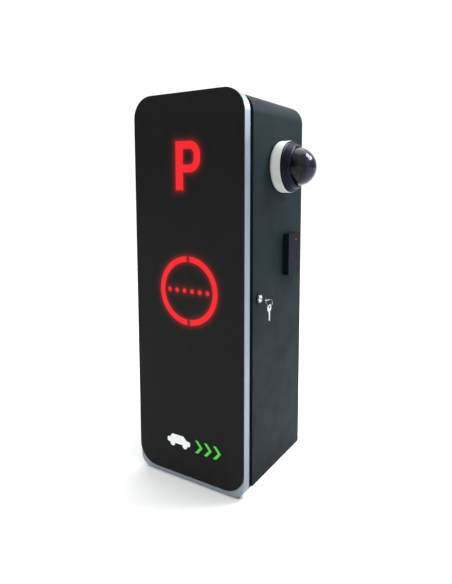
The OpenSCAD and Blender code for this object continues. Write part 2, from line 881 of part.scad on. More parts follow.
module reader_board() {
    x_board = x_side + reader_plate_t + screw_head_h + 1;
    color(board_green) {
        along_x(x_board, x_board + board_t) reader_outline(reader_wall + 2);
        translate([x_board + board_t - e, reader_mid_y - 10, reader_mid_z - 20]) cube([2, 20, 20]);
    }
    color(black_plastic) for (i = [-1, 1], k = [-1, 1])
        translate([0, reader_mid_y + i*(reader_w/2 - 12), reader_mid_z + k*(reader_h/2 - 12)])
            rod_x(x_side + reader_plate_t, x_board + e, 6);
}

module reader_light() {
    x_board = x_side + reader_plate_t + screw_head_h + 1 + board_t;
    color("#ff5a78") translate([0, reader_light_y, reader_light_z]) {
        rod_x(x_board, x_side + reader_d + 0.4, reader_light_d);
        rod_x(x_board, x_board + 2, reader_light_d + 2);
    }
}

// ---- Cam lock on the right side wall ----

module lock_barrel() {
    color("#111214") translate([0, lock_y, lock_z]) difference() {
        union() {
            rod_x(x_side, x_side + rosette_t, rosette_d);
            rod_x(x_barrel_in, x_side + e, barrel_d);
        }
        rod_x(x_barrel_in - e, x_side + rosette_t + e, plug_d + 2*running);
    }
}

module lock_nut() {
    color("#b0b2b0") translate([0, lock_y, lock_z]) difference() {
        translate([x_side - sheet_t - nut_t, 0, 0]) rotate([0, 90, 0])
            cylinder(d = nut_af/cos(30), h = nut_t, $fn = 6);
        rod_x(x_side - sheet_t - nut_t - e, x_side - sheet_t + e, barrel_d + 2*press);
    }
}

module lock_plug() {
    slot_h = key_t + 2*fit;
    slot_w = key_blade_w + 2*fit;
    color("#c9ccce") translate([0, lock_y, lock_z]) difference() {
        union() {
            rod_x(x_plug_in, x_plug_out, plug_d);
            translate([x_plug_in - cam_t, -tenon_w/2, -tenon_w/2])
                cube([cam_t + e, tenon_w, tenon_w]);
        }
        translate([x_plug_out - key_blade_len, -slot_w/2, -slot_h/2])
            cube([key_blade_len + e, slot_w, slot_h]);
        rod_x(x_plug_in - cam_t - e, x_plug_in + 4, screw_d + 2*press);
    }
}

// At rest the cam points forward, clear of the strike
module lock_cam() {
    hole = tenon_w + fit/2;
    color("#a8abab") translate([0, lock_y, lock_z]) difference() {
        along_x(x_plug_in - cam_t, x_plug_in) {
            circle(d = 18);
            translate([-cam_len + cam_w/2, -cam_w/2]) square([cam_len - cam_w/2, cam_w]);
            translate([-cam_len + cam_w/2, 0]) circle(d = cam_w);
        }
        translate([x_plug_in - cam_t - e, -hole/2, -hole/2]) cube([cam_t + 2*e, hole, hole]);
    }
}

module cam_screw() {
    color("#8d9092") translate([0, lock_y, lock_z]) {
        rod_x(x_plug_in - cam_t - cam_head_h, x_plug_in - cam_t, cam_head_d);
        rod_x(x_plug_in - cam_t - e, x_plug_in + 3.5, screw_d);
    }
}

// Flat key drawn round the middle of its bow's hole, its blade towards -X
module key_outline() {
    blade = key_bow_x - x_plug_out + key_blade_len - 1;
    difference() {
        union() {
            translate([key_hole_edge - key_bow_len, -key_bow_w/2]) rounded(key_bow_len, key_bow_w, 6);
            translate([key_hole_edge - key_bow_len - blade, -key_blade_w/2])
                square([blade + e, key_blade_w]);
        }
        circle(d = key_hole_d);
    }
}

module working_key() {
    color("#c4c7c8") translate([key_hole_x, lock_y, lock_z - key_t/2])
        linear_extrude(key_t) key_outline();
}

module split_ring() {
    color("#b9bcbd") translate([ring_x, lock_y, split_ring_z]) rotate([90, 0, 0])
        rotate_extrude() translate([ring_wire_r, 0]) circle(d = ring_wire_d);
}

module spare_key() {
    color("#aeb1b2") along_x(ring_x - key_t/2, ring_x + key_t/2)
        translate([lock_y, spare_z]) rotate(90) key_outline();
}

// ---- Front door ----

module door_frame() {
    color(frame_silver) difference() {
        union() {
            along_y(y_frame_front, y_frame_back) difference() {
                door_outline();
                door_outline(door_wall);
            }
            along_y(y_frame_front, y_frame_front + door_wall) difference() {
                door_outline(door_wall - e);
                panel_outline(door_flange_w);
            }
            along_y(y_cover_front - door_wall, y_cover_front) difference() {
                door_outline(door_wall - e);
                door_outline(door_flange_w);
            }
        }
        cover_screw_places()
            rod_y(y_cover_front - door_wall - e, y_cover_front + e, screw_d + 2*press);
    }
}

// Outline of the letter P grown by a distance all round
module letter_shape(grow = 0) {
    bowl_h = letter_h - letter_bowl_low;
    bowl_r = bowl_h*0.42;
    hole_w = letter_w - letter_stem - letter_stroke - 2*grow;
    hole_h = letter_h - letter_stroke - letter_counter_low - 2*grow;
    hole_r = bowl_r - letter_stroke;
    translate([letter_x, letter_z]) {
        translate([-grow, -grow]) square([letter_stem + 2*grow, letter_h + 2*grow]);
        difference() {
            union() {
                translate([-grow, letter_bowl_low - grow])
                    square([letter_w - bowl_r + grow, bowl_h + 2*grow]);
                translate([letter_w - bowl_r - e, letter_bowl_low + bowl_r])
                    square([bowl_r + grow + e, bowl_h - 2*bowl_r]);
                for (z = [letter_bowl_low + bowl_r, letter_h - bowl_r])
                    translate([letter_w - bowl_r, z]) circle(bowl_r + grow);
            }
            translate([letter_stem + grow, letter_counter_low + grow]) {
                square([hole_w - hole_r, hole_h]);
                translate([0, hole_r]) square([hole_w, hole_h - 2*hole_r]);
                for (z = [hole_r, hole_h - hole_r]) translate([hole_w - hole_r, z]) circle(hole_r);
            }
        }
    }
}

// One half of the split ring, grown by a distance; side is -1 or 1
module ring_half(side, grow = 0) {
    translate([symbol_x, ring_z]) intersection() {
        difference() {
            circle(ring_r + grow);
            circle(ring_r - ring_stroke - grow);
        }
        translate([side > 0 ? ring_gap/2 - grow : -2*ring_r, -2*ring_r])
            square([2*ring_r - ring_gap/2 + grow, 4*ring_r]);
    }
}

module dot_places() {
    for (i = [0:dot_count - 1])
        translate([symbol_x + (i - (dot_count - 1)/2)*dot_pitch, ring_z]) children();
}

module face_panel() {
    color(gloss_black) along_y(y_face, y_frame_front) difference() {
        panel_outline();
        letter_shape(lens_gap);
        for (side = [-1, 1]) ring_half(side, lens_gap);
        dot_places() circle(dot_d/2 + lens_gap);
    }
}

module letter_lens() {
    color(lamp_red) {
        along_y(y_face, y_frame_front + e) letter_shape();
        along_y(y_frame_front, y_flange_back)
            translate([letter_x - lens_border, letter_z - lens_border])
                rounded(letter_w + 2*lens_border, letter_h + 2*lens_border, 6);
    }
}

module ring_lenses() {
    color(lamp_red) for (side = [-1, 1]) {
        along_y(y_face, y_frame_front + e) ring_half(side);
        along_y(y_frame_front, y_flange_back) ring_half(side, lens_border/2);
    }
}

module dot_lenses() {
    color(lamp_red) {
        along_y(y_face, y_frame_front + e) dot_places() circle(dot_d/2);
        along_y(y_frame_front, y_flange_back) dot_places() circle(dot_d/2 + 4);
    }
}

// Printed car and direction marks near the foot of the panel, a plain generic pictogram
module panel_print() {
    color("#f2f4f2") along_y(y_face - print_t, y_face)
        translate([symbol_x + 12 - print_w/2, print_z]) {
            translate([0, 12]) rounded(74, 14, 5);
            translate([16, 22]) square([36, 14]);
            polygon([[8, 25], [16, 25], [16, 36]]);
            polygon([[52, 36], [52, 25], [64, 25]]);
            for (x = [17, 57]) translate([x, 11]) circle(8);
        }
    color("#3fd021") along_y(y_face - print_t, y_face)
        translate([symbol_x + 12 - print_w/2, print_z]) for (i = [0:2]) translate([90 + i*28, 0])
            polygon([[0, 3], [9, 3], [24, 20], [9, 37], [0, 37], [15, 20]]);
}

module light_board(x, z, w, h) {
    difference() {
        along_y(y_board_front, y_board_front + board_t) translate([x - w/2, z - h/2]) square([w, h]);
        corners(x, z, w - 2*board_hole_inset, h - 2*board_hole_inset)
            rod_y(y_board_front - e, y_board_front + board_t + e, 3.4);
    }
}

letter_mid_x = letter_x + letter_w/2;
letter_mid_z = letter_z + letter_h/2;

module letter_light_board() {
    color("#e9ebe6") light_board(letter_mid_x, letter_mid_z, letter_board_w, letter_board_h);
}

module ring_light_board() {
    color("#e9ebe6") light_board(symbol_x, ring_z, ring_board_w, ring_board_w);
}

module led() {
    translate([-led_w/2, y_board_front - led_h, -led_w/2]) cube([led_w, led_h, led_w]);
}

module board_leds() {
    color("#f4e9b0") {
        for (a = [15:30:345]) translate([symbol_x + (ring_r - ring_stroke/2)*sin(a), 0,
                                         ring_z + (ring_r - ring_stroke/2)*cos(a)]) led();
        for (i = [0:dot_count - 1])
            translate([symbol_x + (i - (dot_count - 1)/2)*dot_pitch, 0, ring_z]) led();
        for (k = [0:5]) translate([letter_x + letter_stem/2, 0, letter_z + (k + 0.5)*letter_h/6]) led();
        for (i = [0:1], z = [letter_counter_low/2 + letter_bowl_low/2, letter_h - letter_stroke/2])
            translate([letter_x + letter_stem + 10 + i*18, 0, letter_z + z]) led();
        translate([letter_x + letter_w - letter_stroke/2, 0,
                   letter_z + (letter_h + letter_bowl_low)/2]) led();
    }
}

module light_standoff() {
    rod_y(y_board_front + board_t, y_cover_front, light_standoff_d);
    rod_y(y_board_front - 1.8, y_board_front + board_t + e, 3);
    rod_y(y_board_front - 1.8, y_board_front, 5.5);
}

module light_board_standoffs() {
    inset = 2*board_hole_inset;
    color("#c8a64f") {
        corners(letter_mid_x, letter_mid_z, letter_board_w - inset, letter_board_h - inset)
            light_standoff();
        corners(symbol_x, ring_z, ring_board_w - inset, ring_board_w - inset) light_standoff();
    }
}

module door_back_cover() {
    color("#5b5f61") difference() {
        along_y(y_cover_front, y_frame_back) door_outline(door_wall + fit);
        cover_screw_places() rod_y(y_cover_front - e, y_frame_back + e, screw_d + fit);
    }
}

module door_cover_screws() {
    color("#9a9a98") cover_screw_places() translate([0, y_frame_back, 0])
        screw_back(door_wall + cover_t + 3);
}

module hinge_door_leaves() {
    third = hinge_h/6 - hinge_gap/2;
    bore = hinge_pin_d + 2*running;
    color("#2b2d2e") for (i = [0:hinge_count - 1]) translate([0, 0, hinge_z(i)]) {
        knuckle(-third, third, bore);
        difference() {
            translate([hinge_x - knuckle_d/2, y_frame_back, -third])
                cube([door_flange_w, leaf_t, 2*third]);
            translate([hinge_x, hinge_y, -hinge_h/2]) cylinder(d = bore, h = hinge_h);
        }
    }
}

// Arm on the door that reaches in past the lock, with a lip behind the turned cam
module lock_strike() {
    lip_y = lock_y + cam_w/2 + strike_gap;
    foot_w = 24;
    foot_h = 44;
    color("#9c9f9f") {
        translate([x_strike - foot_w + strike_t, y_frame_back, lock_z + strike_low - 10])
            cube([foot_w, strike_t, foot_h]);
        translate([x_strike, y_frame_back, lock_z + strike_low])
            cube([strike_t, lip_y + strike_t - y_frame_back, strike_h]);
        translate([x_strike, lip_y, lock_z + strike_low])
            cube([2*strike_t + strike_cam_gap + cam_t, strike_t, strike_h]);
    }
}

// ---- Breaker lever ----

// At rest the lever is up, which is on
module breaker_toggle() {
    color("#20242c") translate([breaker_x + (breaker_w - toggle_w)/2, toggle_y, rail_z]) {
        rod_x(0, toggle_w, toggle_d);
        rod_x(-1.7, toggle_w + 1.7, toggle_pin_d);
        rotate([-toggle_angle, 0, 0]) translate([0, -toggle_len, -2]) cube([toggle_w, toggle_len, 4]);
    }
}

base_plate();
cable_grommet();
earth_stud();
cabinet_shell();
back_panel();
back_panel_screws();
neck_frame();
door_seal();
hinge_cabinet_leaves();
hinge_pins();
mounting_plate();
plate_standoffs();
wire_duct();
din_rail();
power_supply();
circuit_breaker();
terminal_blocks();
control_board();
board_parts();
board_standoffs();
network_switch();
camera_gasket();
camera_base();
camera_screws();
camera_trim();
camera_bubble();
reader_back_plate();
reader_screws();
reader_board();
reader_case();
reader_light();
lock_barrel();
lock_nut();
door_frame();
face_panel();
letter_lens();
ring_lenses();
dot_lenses();
panel_print();
letter_light_board();
ring_light_board();
board_leds();
light_board_standoffs();
door_back_cover();
door_cover_screws();
hinge_door_leaves();
lock_strike();
lock_plug();
lock_cam();
cam_screw();
working_key();
split_ring();
spare_key();
camera_turntable();
camera_eyeball();
camera_lens();
breaker_toggle();
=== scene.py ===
import json
from math import cos, pi, radians, sin

import bmesh
import bpy
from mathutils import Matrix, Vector

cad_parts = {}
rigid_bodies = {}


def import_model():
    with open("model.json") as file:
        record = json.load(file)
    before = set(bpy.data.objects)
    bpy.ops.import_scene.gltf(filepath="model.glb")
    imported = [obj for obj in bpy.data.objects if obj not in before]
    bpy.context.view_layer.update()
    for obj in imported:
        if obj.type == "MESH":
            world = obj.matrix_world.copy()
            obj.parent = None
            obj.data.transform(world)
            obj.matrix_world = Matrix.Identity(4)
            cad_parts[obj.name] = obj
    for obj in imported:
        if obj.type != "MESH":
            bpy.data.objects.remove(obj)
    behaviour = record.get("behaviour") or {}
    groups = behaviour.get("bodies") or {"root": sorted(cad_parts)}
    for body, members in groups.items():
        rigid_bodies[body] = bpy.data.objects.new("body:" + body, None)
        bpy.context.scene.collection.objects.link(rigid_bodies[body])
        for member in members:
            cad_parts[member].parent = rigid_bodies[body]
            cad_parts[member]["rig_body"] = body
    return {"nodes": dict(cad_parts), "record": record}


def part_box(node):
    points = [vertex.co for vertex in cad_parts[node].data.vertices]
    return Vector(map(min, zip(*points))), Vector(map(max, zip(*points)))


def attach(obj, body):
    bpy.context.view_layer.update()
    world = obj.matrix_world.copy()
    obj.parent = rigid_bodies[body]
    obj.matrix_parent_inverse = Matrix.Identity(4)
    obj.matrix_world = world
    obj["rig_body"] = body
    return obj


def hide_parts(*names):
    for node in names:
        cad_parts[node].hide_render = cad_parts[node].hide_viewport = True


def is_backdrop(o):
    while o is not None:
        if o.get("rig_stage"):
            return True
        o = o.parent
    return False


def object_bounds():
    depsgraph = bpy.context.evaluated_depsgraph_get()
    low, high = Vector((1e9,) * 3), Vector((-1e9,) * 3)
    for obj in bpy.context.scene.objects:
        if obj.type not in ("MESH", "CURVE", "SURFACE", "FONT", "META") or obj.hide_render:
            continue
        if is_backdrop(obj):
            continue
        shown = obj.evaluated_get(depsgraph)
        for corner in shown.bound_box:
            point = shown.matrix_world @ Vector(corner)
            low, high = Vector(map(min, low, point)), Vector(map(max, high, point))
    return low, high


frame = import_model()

# A parking control pillar: a powder-coated sheet steel cabinet with a black acrylic door that
# lights up, a dome camera, a card reader and a cam lock on its right side wall. The packed
# model gives every place, so the shapes below start from the boxes of its nodes, in metres.

MM = 0.001
scene = bpy.context.scene
nodes = frame["nodes"]
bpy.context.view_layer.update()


# ---- Camera ----

def add_camera():
    """A short lens at waist height, in front of the pillar's right edge, looking a little down."""
    data = bpy.data.cameras.new("camera")
    data.sensor_width = 36
    data.lens = 31.06
    data.shift_x = -0.0144
    data.shift_y = -0.0838
    data.clip_start = 0.05
    data.clip_end = 30
    camera = bpy.data.objects.new("camera", data)
    scene.collection.objects.link(camera)
    camera.location = (0.7559, -1.2110, 0.7704)
    camera.rotation_euler = (radians(90 - 6.3), 0, radians(31.7))
    scene.camera = camera


add_camera()


# ---- Materials ----

def linear(colour):
    """The linear light of an sRGB hex colour."""
    value = int(colour.lstrip("#"), 16)
    shares = [(value >> shift & 255)/255 for shift in (16, 8, 0)]
    return tuple(c/12.92 if c <= 0.04045 else ((c + 0.055)/1.055)**2.4 for c in shares) + (1.0,)


def add(tree, kind, inputs, **settings):
    """Adds a shader node with its settings; each of its inputs gets a value or another node's output."""
    node = tree.nodes.new("ShaderNode" + kind)
    for name, value in settings.items():
        setattr(node, name, value)
    for name, value in inputs.items():
        if isinstance(value, bpy.types.NodeSocket):
            tree.links.new(value, node.inputs[name])
        else:
            node.inputs[name].default_value = value
    return node


def per_mm(size):
    """A texture's scale for a pattern that repeats at a size in millimetres."""
    return 1000/size


def new_material(name, colour, roughness, metallic=0.0, **sockets):
    """A principled material, its tree, its shader and the place on the piece that patterns read."""
    material = bpy.data.materials.new(name)
    material.use_nodes = True
    tree = material.node_tree
    shader = tree.nodes["Principled BSDF"]
    shader.inputs["Base Color"].default_value = linear(colour)
    shader.inputs["Roughness"].default_value = roughness
    shader.inputs["Metallic"].default_value = metallic
    for socket, value in sockets.items():
        shader.inputs[socket.replace("_", " ")].default_value = value
    place = add(tree, "TexCoord", {}).outputs["Object"]
    return material, tree, shader, place


def patches(tree, place, size, detail=3.0, stretch=(1, 1, 1)):
    """Soft patches of a size in millimetres, from 0 to 1, drawn out along the small axes of stretch."""
    spread = add(tree, "Mapping", {"Vector": place, "Scale": stretch})
    noise = add(tree, "TexNoise", {"Vector": spread.outputs[0], "Scale": per_mm(size),
                                   "Detail": detail, "Roughness": 0.55})
    return add(tree, "MapRange", {"Value": noise.outputs["Fac"], "From Min": 0.32,
                                  "From Max": 0.68}).outputs[0]


def two_colours(tree, share, first, second):
    """The first colour, turning to the second as share goes from 0 to 1."""
    first, second = (linear(c) if isinstance(c, str) else c for c in (first, second))
    return add(tree, "Mix", {0: share, 6: first, 7: second}, data_type="RGBA").outputs[2]


def vary_gloss(tree, shader, share, low, high):
    """Roughness from low to high as share goes from 0 to 1."""
    spread = add(tree, "MapRange", {"Value": share, "To Min": low, "To Max": high})
    tree.links.new(spread.outputs[0], shader.inputs["Roughness"])


def edge_share(tree, place, width, amount):
    """How worn a point is: near 1 on edges as wide as width in millimetres, broken up by patches."""
    bevel = add(tree, "Bevel", {"Radius": width*MM}, samples=4)
    normal = add(tree, "NewGeometry", {}).outputs["Normal"]
    turn = add(tree, "VectorMath", {0: bevel.outputs[0], 1: normal}, operation="DOT_PRODUCT")
    edge = add(tree, "MapRange", {"Value": turn.outputs["Value"], "From Min": 0.995, "From Max": 0.85,
                                  "To Max": amount})
    return add(tree, "Math", {0: edge.outputs[0], 1: patches(tree, place, 9)},
               operation="MULTIPLY").outputs[0]


def raise_surface(tree, shader, height, depth):
    """Bumps the surface by height, a share from 0 to 1, times depth in millimetres."""
    bump = add(tree, "Bump", {"Height": height, "Strength": 1.0, "Distance": depth*MM})
    tree.links.new(bump.outputs[0], shader.inputs["Normal"])


def powder_coat(name, colour, dusty, worn_colour, roughness, shine):
    """Baked powder paint: a fine orange peel, a slightly cloudy gloss, and paler rubbed edges.

    The peel of real paint is about 2 mm across; here it is 5 mm, so that it shows.
    """
    material, tree, shader, place = new_material(name, colour, roughness, IOR=1.5,
                                                 Specular_IOR_Level=shine)
    cloud = patches(tree, place, 120)
    tint = two_colours(tree, cloud, colour, dusty)
    worn = two_colours(tree, edge_share(tree, place, 1.2, 0.35), tint, worn_colour)
    tree.links.new(worn, shader.inputs["Base Color"])
    vary_gloss(tree, shader, patches(tree, place, 60), roughness - 0.05, roughness + 0.06)
    raise_surface(tree, shader, patches(tree, place, 5, 2), 0.035)
    return material


def cabinet_paint():
    """Dark grey-green paint over the sheet steel cabinet."""
    return powder_coat("dark_grey_green_powder_coat", "#1b2527", "#182124", "#3e474a", 0.45, 0.04)


def neck_black():
    """Flatter black paint on the neck behind the door, near black: partly its paint and partly painted shade
    of the recess.
    """
    # Painted shade: the neck's near-black colours also darken the recess behind the door.
    return powder_coat("matt_black_coat_with_painted_shade", "#050607", "#08090a", "#15181a", 0.6, 0.12)


def door_silver():
    """Anodised aluminium, satin: an even silver with faint upright draw lines from the die."""
    material, tree, shader, place = new_material(
        "satin_anodised_aluminium", "#8a949f", 0.45, metallic=0.7)
    lines = patches(tree, place, 2.5, 2, (1, 1, 0.02))
    tint = two_colours(tree, lines, "#87919c", "#8f99a4")
    worn = two_colours(tree, edge_share(tree, place, 0.8, 0.4), tint, "#b4bac0")
    tree.links.new(worn, shader.inputs["Base Color"])
    vary_gloss(tree, shader, patches(tree, place, 45), 0.36, 0.48)
    raise_surface(tree, shader, lines, 0.01)
    return material


def zinc_plate():
    """Zinc-plated sheet: a soft grey with cloudy, faintly yellow passivation."""
    material, tree, shader, place = new_material("passivated_zinc_sheet", "#8d8f8a", 0.42, metallic=0.85)
    tint = two_colours(tree, patches(tree, place, 35), "#8c8f8c", "#99968a")
    tree.links.new(tint, shader.inputs["Base Color"])
    vary_gloss(tree, shader, patches(tree, place, 14), 0.34, 0.5)
    raise_surface(tree, shader, patches(tree, place, 3), 0.01)
    return material


def galvanised():
    """Hot-dip galvanised sheet: the spangle's crystals, each a slightly different grey."""
    material, tree, shader, place = new_material("galvanised_sheet", "#b3b6b6", 0.36, metallic=0.9)
    crystals = add(tree, "TexVoronoi", {"Vector": place, "Scale": per_mm(12)})
    shade = add(tree, "SeparateColor", {"Color": crystals.outputs["Color"]}).outputs[0]
    tree.links.new(two_colours(tree, shade, "#a5a9aa", "#bfc2c2"), shader.inputs["Base Color"])
    vary_gloss(tree, shader, shade, 0.26, 0.46)
    return material


def bright_steel():
    """Bright zinc on turned and stamped steel: fine tool marks and small dull patches."""
    material, tree, shader, place = new_material("bright_zinc_steel", "#c0c2c3", 0.3, metallic=1.0)
    marks = patches(tree, place, 0.8, 2, (1, 1, 0.2))
    tree.links.new(two_colours(tree, marks, "#b6b8ba", "#c9cbcb"), shader.inputs["Base Color"])
    vary_gloss(tree, shader, patches(tree, place, 3), 0.22, 0.38)
    raise_surface(tree, shader, marks, 0.005)
    return material


def chrome_plug():
    """Polished nickel on the lock's plug and the keys: mirror-like, with hairline scratches."""
    material, tree, shader, place = new_material("polished_nickel", "#dcdcda", 0.16, metallic=1.0)
    hair = patches(tree, place, 0.5, 4, (0.15, 1, 1))
    tree.links.new(two_colours(tree, hair, "#d2d2d0", "#e4e4e2"), shader.inputs["Base Color"])
    vary_gloss(tree, shader, hair, 0.12, 0.26)
    raise_surface(tree, shader, hair, 0.004)
    return material


def brass():
    """Turned brass standoffs: warm yellow, a little brown where it has been handled."""
    material, tree, shader, place = new_material("turned_brass", "#c8a24e", 0.28, metallic=1.0)
    tree.links.new(two_colours(tree, patches(tree, place, 6), "#cda857", "#b38f45"),
                   shader.inputs["Base Color"])
    vary_gloss(tree, shader, patches(tree, place, 2), 0.2, 0.36)
    return material


def seal_rubber():
    """EPDM rubber: matt black with a grey bloom and the fine skin of extruded rubber."""
    material, tree, shader, place = new_material("epdm_rubber", "#141415", 0.75, IOR=1.52)
    tree.links.new(two_colours(tree, patches(tree, place, 25), "#121213", "#1d1d1e"),
                   shader.inputs["Base Color"])
    raise_surface(tree, shader, patches(tree, place, 1.5), 0.03)
    return material


def camera_white():
    """Off-white moulded ABS with a fine spark texture, a little grey where dust sits."""
    material, tree, shader, place = new_material("off_white_abs", "#dadad2", 0.5, IOR=1.53)
    tree.links.new(two_colours(tree, patches(tree, place, 30), "#dededa", "#d4d5cd"),
                   shader.inputs["Base Color"])
    vary_gloss(tree, shader, patches(tree, place, 10), 0.44, 0.56)
    raise_surface(tree, shader, patches(tree, place, 1.2, 2), 0.012)
    return material


def trim_black():
    """Gloss black polycarbonate with a faint blue cast, and the slight waves of a moulding."""
    material, tree, shader, place = new_material(
        "gloss_black_polycarbonate", "#0a0c18", 0.2, IOR=1.58,
        Specular_IOR_Level=0.08)
    tree.links.new(two_colours(tree, patches(tree, place, 18), "#080a14", "#0e1122"),
                   shader.inputs["Base Color"])
    vary_gloss(tree, shader, patches(tree, place, 8), 0.12, 0.24)
    raise_surface(tree, shader, patches(tree, place, 14, 1), 0.02)
    return material


def black_abs(name="textured_black_abs", colour="#0d1015", roughness=0.42):
    """Black ABS from a spark-eroded mould: an even, fine grain and softly polished edges.

    The grain is really about 0.3 mm; here it is 1 mm, so that it shows.
    """
    material, tree, shader, place = new_material(name, colour, roughness, IOR=1.53,
                                                 Specular_IOR_Level=0.04)
    cloud = two_colours(tree, patches(tree, place, 22), colour, "#10151b")
    worn = two_colours(tree, edge_share(tree, place, 0.7, 0.25), cloud, "#2a2c32")
    tree.links.new(worn, shader.inputs["Base Color"])
    vary_gloss(tree, shader, patches(tree, place, 12), roughness - 0.05, roughness + 0.07)
    raise_surface(tree, shader, patches(tree, place, 1, 2), 0.02)
    return material


def moulded(name, colour, other, roughness=0.48):
    """Plain moulded plastic: two near shades in soft patches and a fine grain."""
    material, tree, shader, place = new_material(name, colour, roughness, IOR=1.5)
    tree.links.new(two_colours(tree, patches(tree, place, 15), colour, other),
                   shader.inputs["Base Color"])
    vary_gloss(tree, shader, patches(tree, place, 6), roughness - 0.06, roughness + 0.06)
    raise_surface(tree, shader, patches(tree, place, 0.8, 2), 0.01)
    return material


def board_green(name="solder_mask_green", colour="#1c5a38", track="#2b7a4c"):
    """A circuit board: glossy solder mask over copper tracks that run along and up the board."""
    material, tree, shader, place = new_material(name, colour, 0.28, IOR=1.5)
    parts = add(tree, "SeparateXYZ", {"Vector": place})
    tracks = 0.0
    for axis, size in (("X", 5.0), ("Z", 7.0)):
        cells = add(tree, "Math", {0: parts.outputs[axis], 1: per_mm(size)}, operation="MULTIPLY")
        step = add(tree, "Math", {0: cells.outputs[0]}, operation="FRACT")
        line = add(tree, "Math", {0: step.outputs[0], 1: 0.22}, operation="LESS_THAN")
        patch = add(tree, "Math", {0: patches(tree, place, 9 + size, 0), 1: 0.55},
                    operation="GREATER_THAN")
        row = add(tree, "Math", {0: line.outputs[0], 1: patch.outputs[0]}, operation="MULTIPLY")
        tracks = add(tree, "Math", {0: row.outputs[0], 1: tracks}, operation="MAXIMUM").outputs[0]
    tree.links.new(two_colours(tree, tracks, colour, track), shader.inputs["Base Color"])
    raise_surface(tree, shader, tracks, 0.03)
    return material


CAR_WIDTH = 82*MM                        # from the left of the print to between car and chevrons


def printed_vinyl():
    """Cut vinyl with a slight sheen: the car in white, and past it the chevrons in leaf green."""
    material, tree, shader, place = new_material(
        "cut_vinyl_in_white_and_green", "#f3f5f3", 0.4, IOR=1.5)
    along = add(tree, "SeparateXYZ", {"Vector": place}).outputs["X"]
    chevrons = add(tree, "Math", {0: along, 1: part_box("panel_print")[0].x + CAR_WIDTH},
                   operation="GREATER_THAN").outputs[0]
    cloud = patches(tree, place, 12)
    white = two_colours(tree, cloud, "#f6f8f6", "#eceeec")
    green = two_colours(tree, cloud, "#47d62a", "#3ecb22")
    tree.links.new(two_colours(tree, chevrons, white, green), shader.inputs["Base Color"])
    vary_gloss(tree, shader, cloud, 0.36, 0.46)
    raise_surface(tree, shader, patches(tree, place, 1.5), 0.01)
    return material


def lit_red():
    """Red acrylic lit from behind: one strong even red, a little hotter where an LED sits."""
    material, tree, shader, place = new_material(
        "lit_red_acrylic", "#1c0203", 0.35, IOR=1.49, Specular_IOR_Level=0.1)
    glow = two_colours(tree, patches(tree, place, 30), "#f9242a", "#fc2a2f")
    tree.links.new(glow, shader.inputs["Emission Color"])
    shader.inputs["Emission Strength"].default_value = 0.97
    return material


def bubble_smoke():
    """Smoked polycarbonate: clear and dark with a cool tint, and the faintest flow waves."""
    material, tree, shader, place = new_material(
        "smoked_polycarbonate", "#5f657a", 0.03, IOR=1.3, Transmission_Weight=1.0)
    raise_surface(tree, shader, patches(tree, place, 25, 0), 0.01)
    return material


def lens_glass():
    """Coated lens glass: near black from outside, with a green to violet coating whose tint is set in the
    base colour by facing angle, partly the coating's own colour and partly a painted reflection.
    """
    material, tree, shader, place = new_material("coated_lens_glass", "#0a1d1c", 0.05, IOR=1.6)
    # Painted reflection: the coating's green to violet tint goes into the base colour, by facing angle.
    facing = add(tree, "LayerWeight", {"Blend": 0.45}).outputs["Facing"]
    tree.links.new(two_colours(tree, facing, "#0f5a4c", "#2a1f63"), shader.inputs["Base Color"])
    shader.inputs["Coat Weight"].default_value = 1.0
    return material


# ---- The face panel, with a painted glow round its lit symbols ----

letter_low, letter_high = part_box("letter_lens")
ring_low, ring_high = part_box("ring_lenses")
dots_low, dots_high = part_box("dot_lenses")
LENS_BORDER = 8*MM                       # the letter lens's flange past the letter
RING_BORDER = 4*MM
RING_STROKE = 14*MM
DOT_COUNT = 6
DOT_BORDER = 4*MM
DOT_RADIUS = 5.5*MM
LETTER_STEM = 22.5*MM
LETTER_STROKE = 19*MM
LETTER_BOWL_LOW = 43*MM                  # foot of the bowl above the foot of the letter


def box_distance(tree, flat, middle, half, corner):
    """Distance outside a rectangle with rounded corners, in metres, negative inside it."""
    aside = add(tree, "VectorMath", {0: flat, 1: middle}, operation="SUBTRACT")
    away = add(tree, "VectorMath", {0: aside.outputs[0]}, operation="ABSOLUTE")
    core = half - Vector((corner, 0, corner))
    past = add(tree, "VectorMath", {0: away.outputs[0], 1: core}, operation="SUBTRACT").outputs[0]
    outside = add(tree, "VectorMath", {0: past, 1: (0, 0, 0)}, operation="MAXIMUM")
    far = add(tree, "VectorMath", {0: outside.outputs[0]}, operation="LENGTH").outputs["Value"]
    parts = add(tree, "SeparateXYZ", {"Vector": past})
    wider = add(tree, "Math", {0: parts.outputs["X"], 1: parts.outputs["Z"]}, operation="MAXIMUM")
    near = add(tree, "Math", {0: wider.outputs[0], 1: 0.0}, operation="MINIMUM")
    both = add(tree, "Math", {0: far, 1: near.outputs[0]}, operation="ADD")
    return add(tree, "Math", {0: both.outputs[0], 1: corner}, operation="SUBTRACT").outputs[0]


def band_distance(tree, distance, stroke):
    """Distance from a band of a stroke's width that runs along an outline."""
    away = add(tree, "Math", {0: distance}, operation="ABSOLUTE")
    return add(tree, "Math", {0: away.outputs[0], 1: stroke/2}, operation="SUBTRACT").outputs[0]


def letter_distance(tree, flat):
    """Distance from the letter: its stem, or the band that makes its bowl."""
    left, foot = letter_low.x + LENS_BORDER, letter_low.z + LENS_BORDER
    right, top = letter_high.x - LENS_BORDER, letter_high.z - LENS_BORDER
    stem_middle = Vector((left + LETTER_STEM/2, 0, (foot + top)/2))
    stem = box_distance(tree, flat, stem_middle, Vector((LETTER_STEM/2, 0, (top - foot)/2)), 0.0)
    bowl_foot = foot + LETTER_BOWL_LOW
    half = Vector((right - left - LETTER_STROKE, 0, top - bowl_foot - LETTER_STROKE))/2
    middle = Vector((left + right, 0, bowl_foot + top))/2
    outline = box_distance(tree, flat, middle, half, 0.8*half.z)
    band = band_distance(tree, outline, LETTER_STROKE)
    return add(tree, "Math", {0: stem, 1: band}, operation="MINIMUM").outputs[0]


